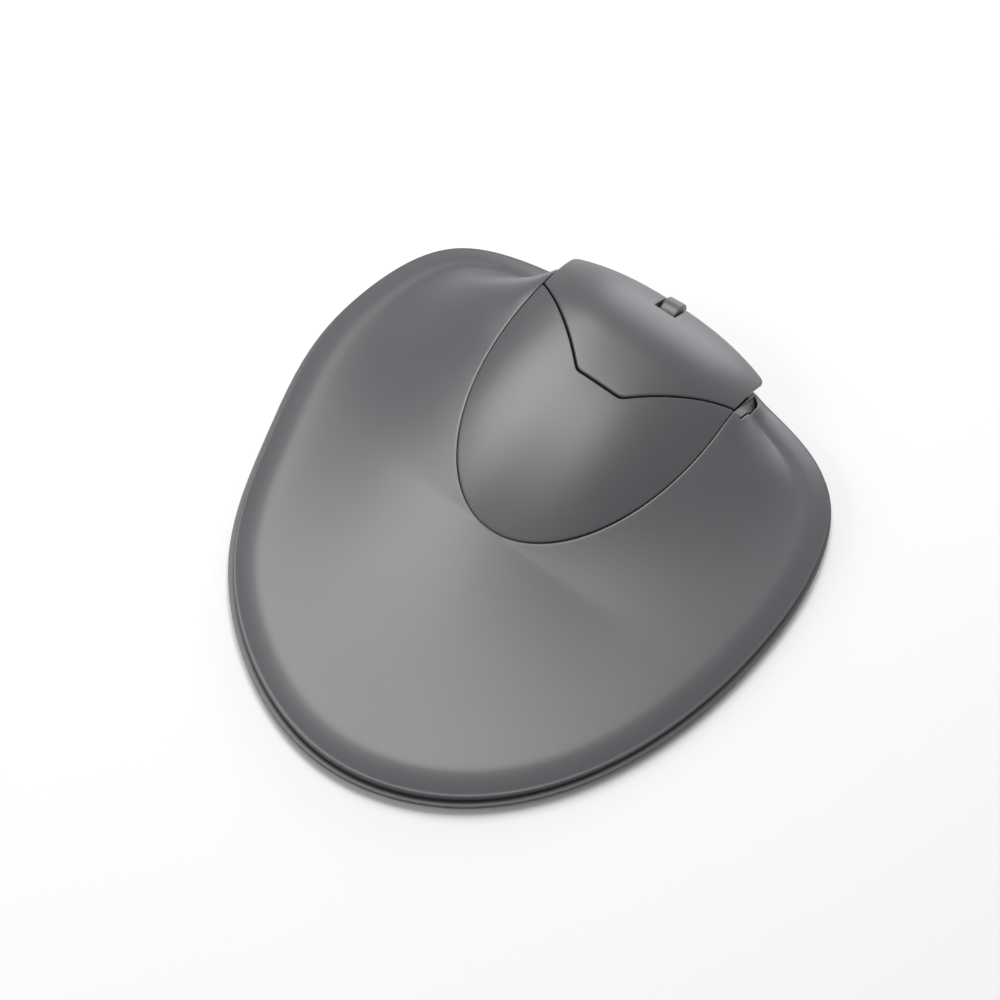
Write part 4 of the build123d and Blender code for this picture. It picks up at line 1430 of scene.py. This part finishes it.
@dataclass(frozen=True)
class View:
    """Camera at the photograph's angle, metres."""

    place: Row = (0.094745, -0.200148, 0.311042)
    right: Row = (0.82040351, 0.56121557, 0.1094311)
    up: Row = (-0.51245172, 0.63678415, 0.57610692)
    forward: Row = (-0.25363619, 0.52871829, -0.81001583)
    lens_mm: Size = 45.0
    sensor_mm: Size = 36.0
    near: Size = 0.01

    def build(self) -> None:
        """Make the camera the scene's own."""
        camera = bpy.data.cameras.new("view")
        camera.lens, camera.sensor_width = self.lens_mm, self.sensor_mm
        camera.clip_start = self.near
        holder = placed("view", camera)
        turn = Matrix((self.right, self.up, -Vector(self.forward))).transposed().to_4x4()
        holder.matrix_world = Matrix.Translation(self.place) @ turn
        bpy.context.scene.camera = holder


@dataclass(frozen=True)
class SoftLamp:
    """Large soft lamp aimed at a point, metres and watts."""

    name: str
    place: Row
    aim: Row
    side: Size
    power: float
    colour: Row = (1.0, 1.0, 1.0)

    def build(self) -> None:
        """Hang the lamp."""
        data = bpy.data.lights.new(self.name, "AREA")
        data.shape, data.size = "SQUARE", self.side
        data.energy, data.color = self.power, self.colour
        holder = placed(self.name, data)
        holder.location = self.place
        aim = Vector(self.aim) - Vector(self.place)
        holder.rotation_euler = aim.to_track_quat("-Z", "Y").to_euler()


@dataclass
class Studio:
    """Plain pale floor, soft lamps and camera."""

    floor_side: Size = 1.6
    floor_colour: Row = (0.905, 0.92, 0.935)
    floor_roughness: float = 0.7
    floor_shade: float = 0.99
    floor_cloud: Noise = Noise(120.0, 2.0)
    dim_colour: Row = (0.955, 0.95, 1.0)
    dim_level: float = 0.24
    white_colour: Row = (1.0, 1.0, 1.0)
    white_level: float = 1.0
    lamps: tuple[SoftLamp, ...] = (
        SoftLamp("window", (-0.37, 0.31, 1.02), (-0.01, 0.0, 0.0), 0.58, 9.1, (1.0, 0.99, 0.97)),
        SoftLamp("crest", (0.02, 0.25, 1.0), (0.0, 0.03, 0.0), 0.16, 1.1, (1.0, 0.94, 0.88)),
        SoftLamp("side", (-0.75, -1.0, 0.35), (0.0, 0.0, 0.0), 0.9, 9.0),
        SoftLamp("front", (-0.05, 1.1, 0.32), (0.0, 0.05, 0.0), 0.6, 3.0, (0.95, 0.98, 1.0)),
    )

    def build(self) -> None:
        """Build floor, world, lamps and camera."""
        self.floor()
        self.world()
        for lamp in self.lamps:
            lamp.build()
        View().build()

    def floor(self) -> None:
        """Pale desk with a very slight unevenness."""
        half = self.floor_side / 2
        corners = [(-half, -half, 0), (half, -half, 0), (half, half, 0), (-half, half, 0)]
        mesh = bpy.data.meshes.new("desk")
        mesh.from_pydata(corners, [], [(0, 1, 2, 3)])
        paint = Paint("desk_white")
        cloud = paint.noise(self.floor_cloud)
        dark = shade(self.floor_colour, self.floor_shade)
        tone = paint.blend(cloud, dark, self.floor_colour)
        mesh.materials.append(
            paint.surface({"Base Color": tone, "Roughness": self.floor_roughness}))
        desk = placed("desk", mesh)

    def world(self) -> None:
        """Dim even light, and white where the camera or a mirror-like ray looks past the floor."""
        world = bpy.data.worlds.new("studio")
        graph = Graph(world)
        path = graph.node("ShaderNodeLightPath", {}, {})
        seen = Signal(graph, path.outputs["Is Camera Ray"])
        for kind in ("Is Glossy Ray", "Is Transmission Ray"):
            seen = seen.math("MAXIMUM", seen, Signal(graph, path.outputs[kind]))
        dim, white = (
            graph.node("ShaderNodeBackground", {}, {0: (*colour, 1.0), 1: level}).outputs[0]
            for colour, level in (
                (self.dim_colour, self.dim_level), (self.white_colour, self.white_level)))
        mix = graph.node("ShaderNodeMixShader", {}, {0: seen, 1: dim, 2: white})
        graph.node("ShaderNodeOutputWorld", {}, {0: mix.outputs[0]})
        bpy.context.scene.world = world


def main() -> None:
    """Build the mouse and its studio."""
    logging.basicConfig(level=logging.INFO, format="%(name)s %(message)s")
    bpy.context.scene.view_settings.view_transform = "Standard"
    Mouse(MasterForm()).build(Finishes())
    Studio().build()


if __name__ == "__main__":
    main()
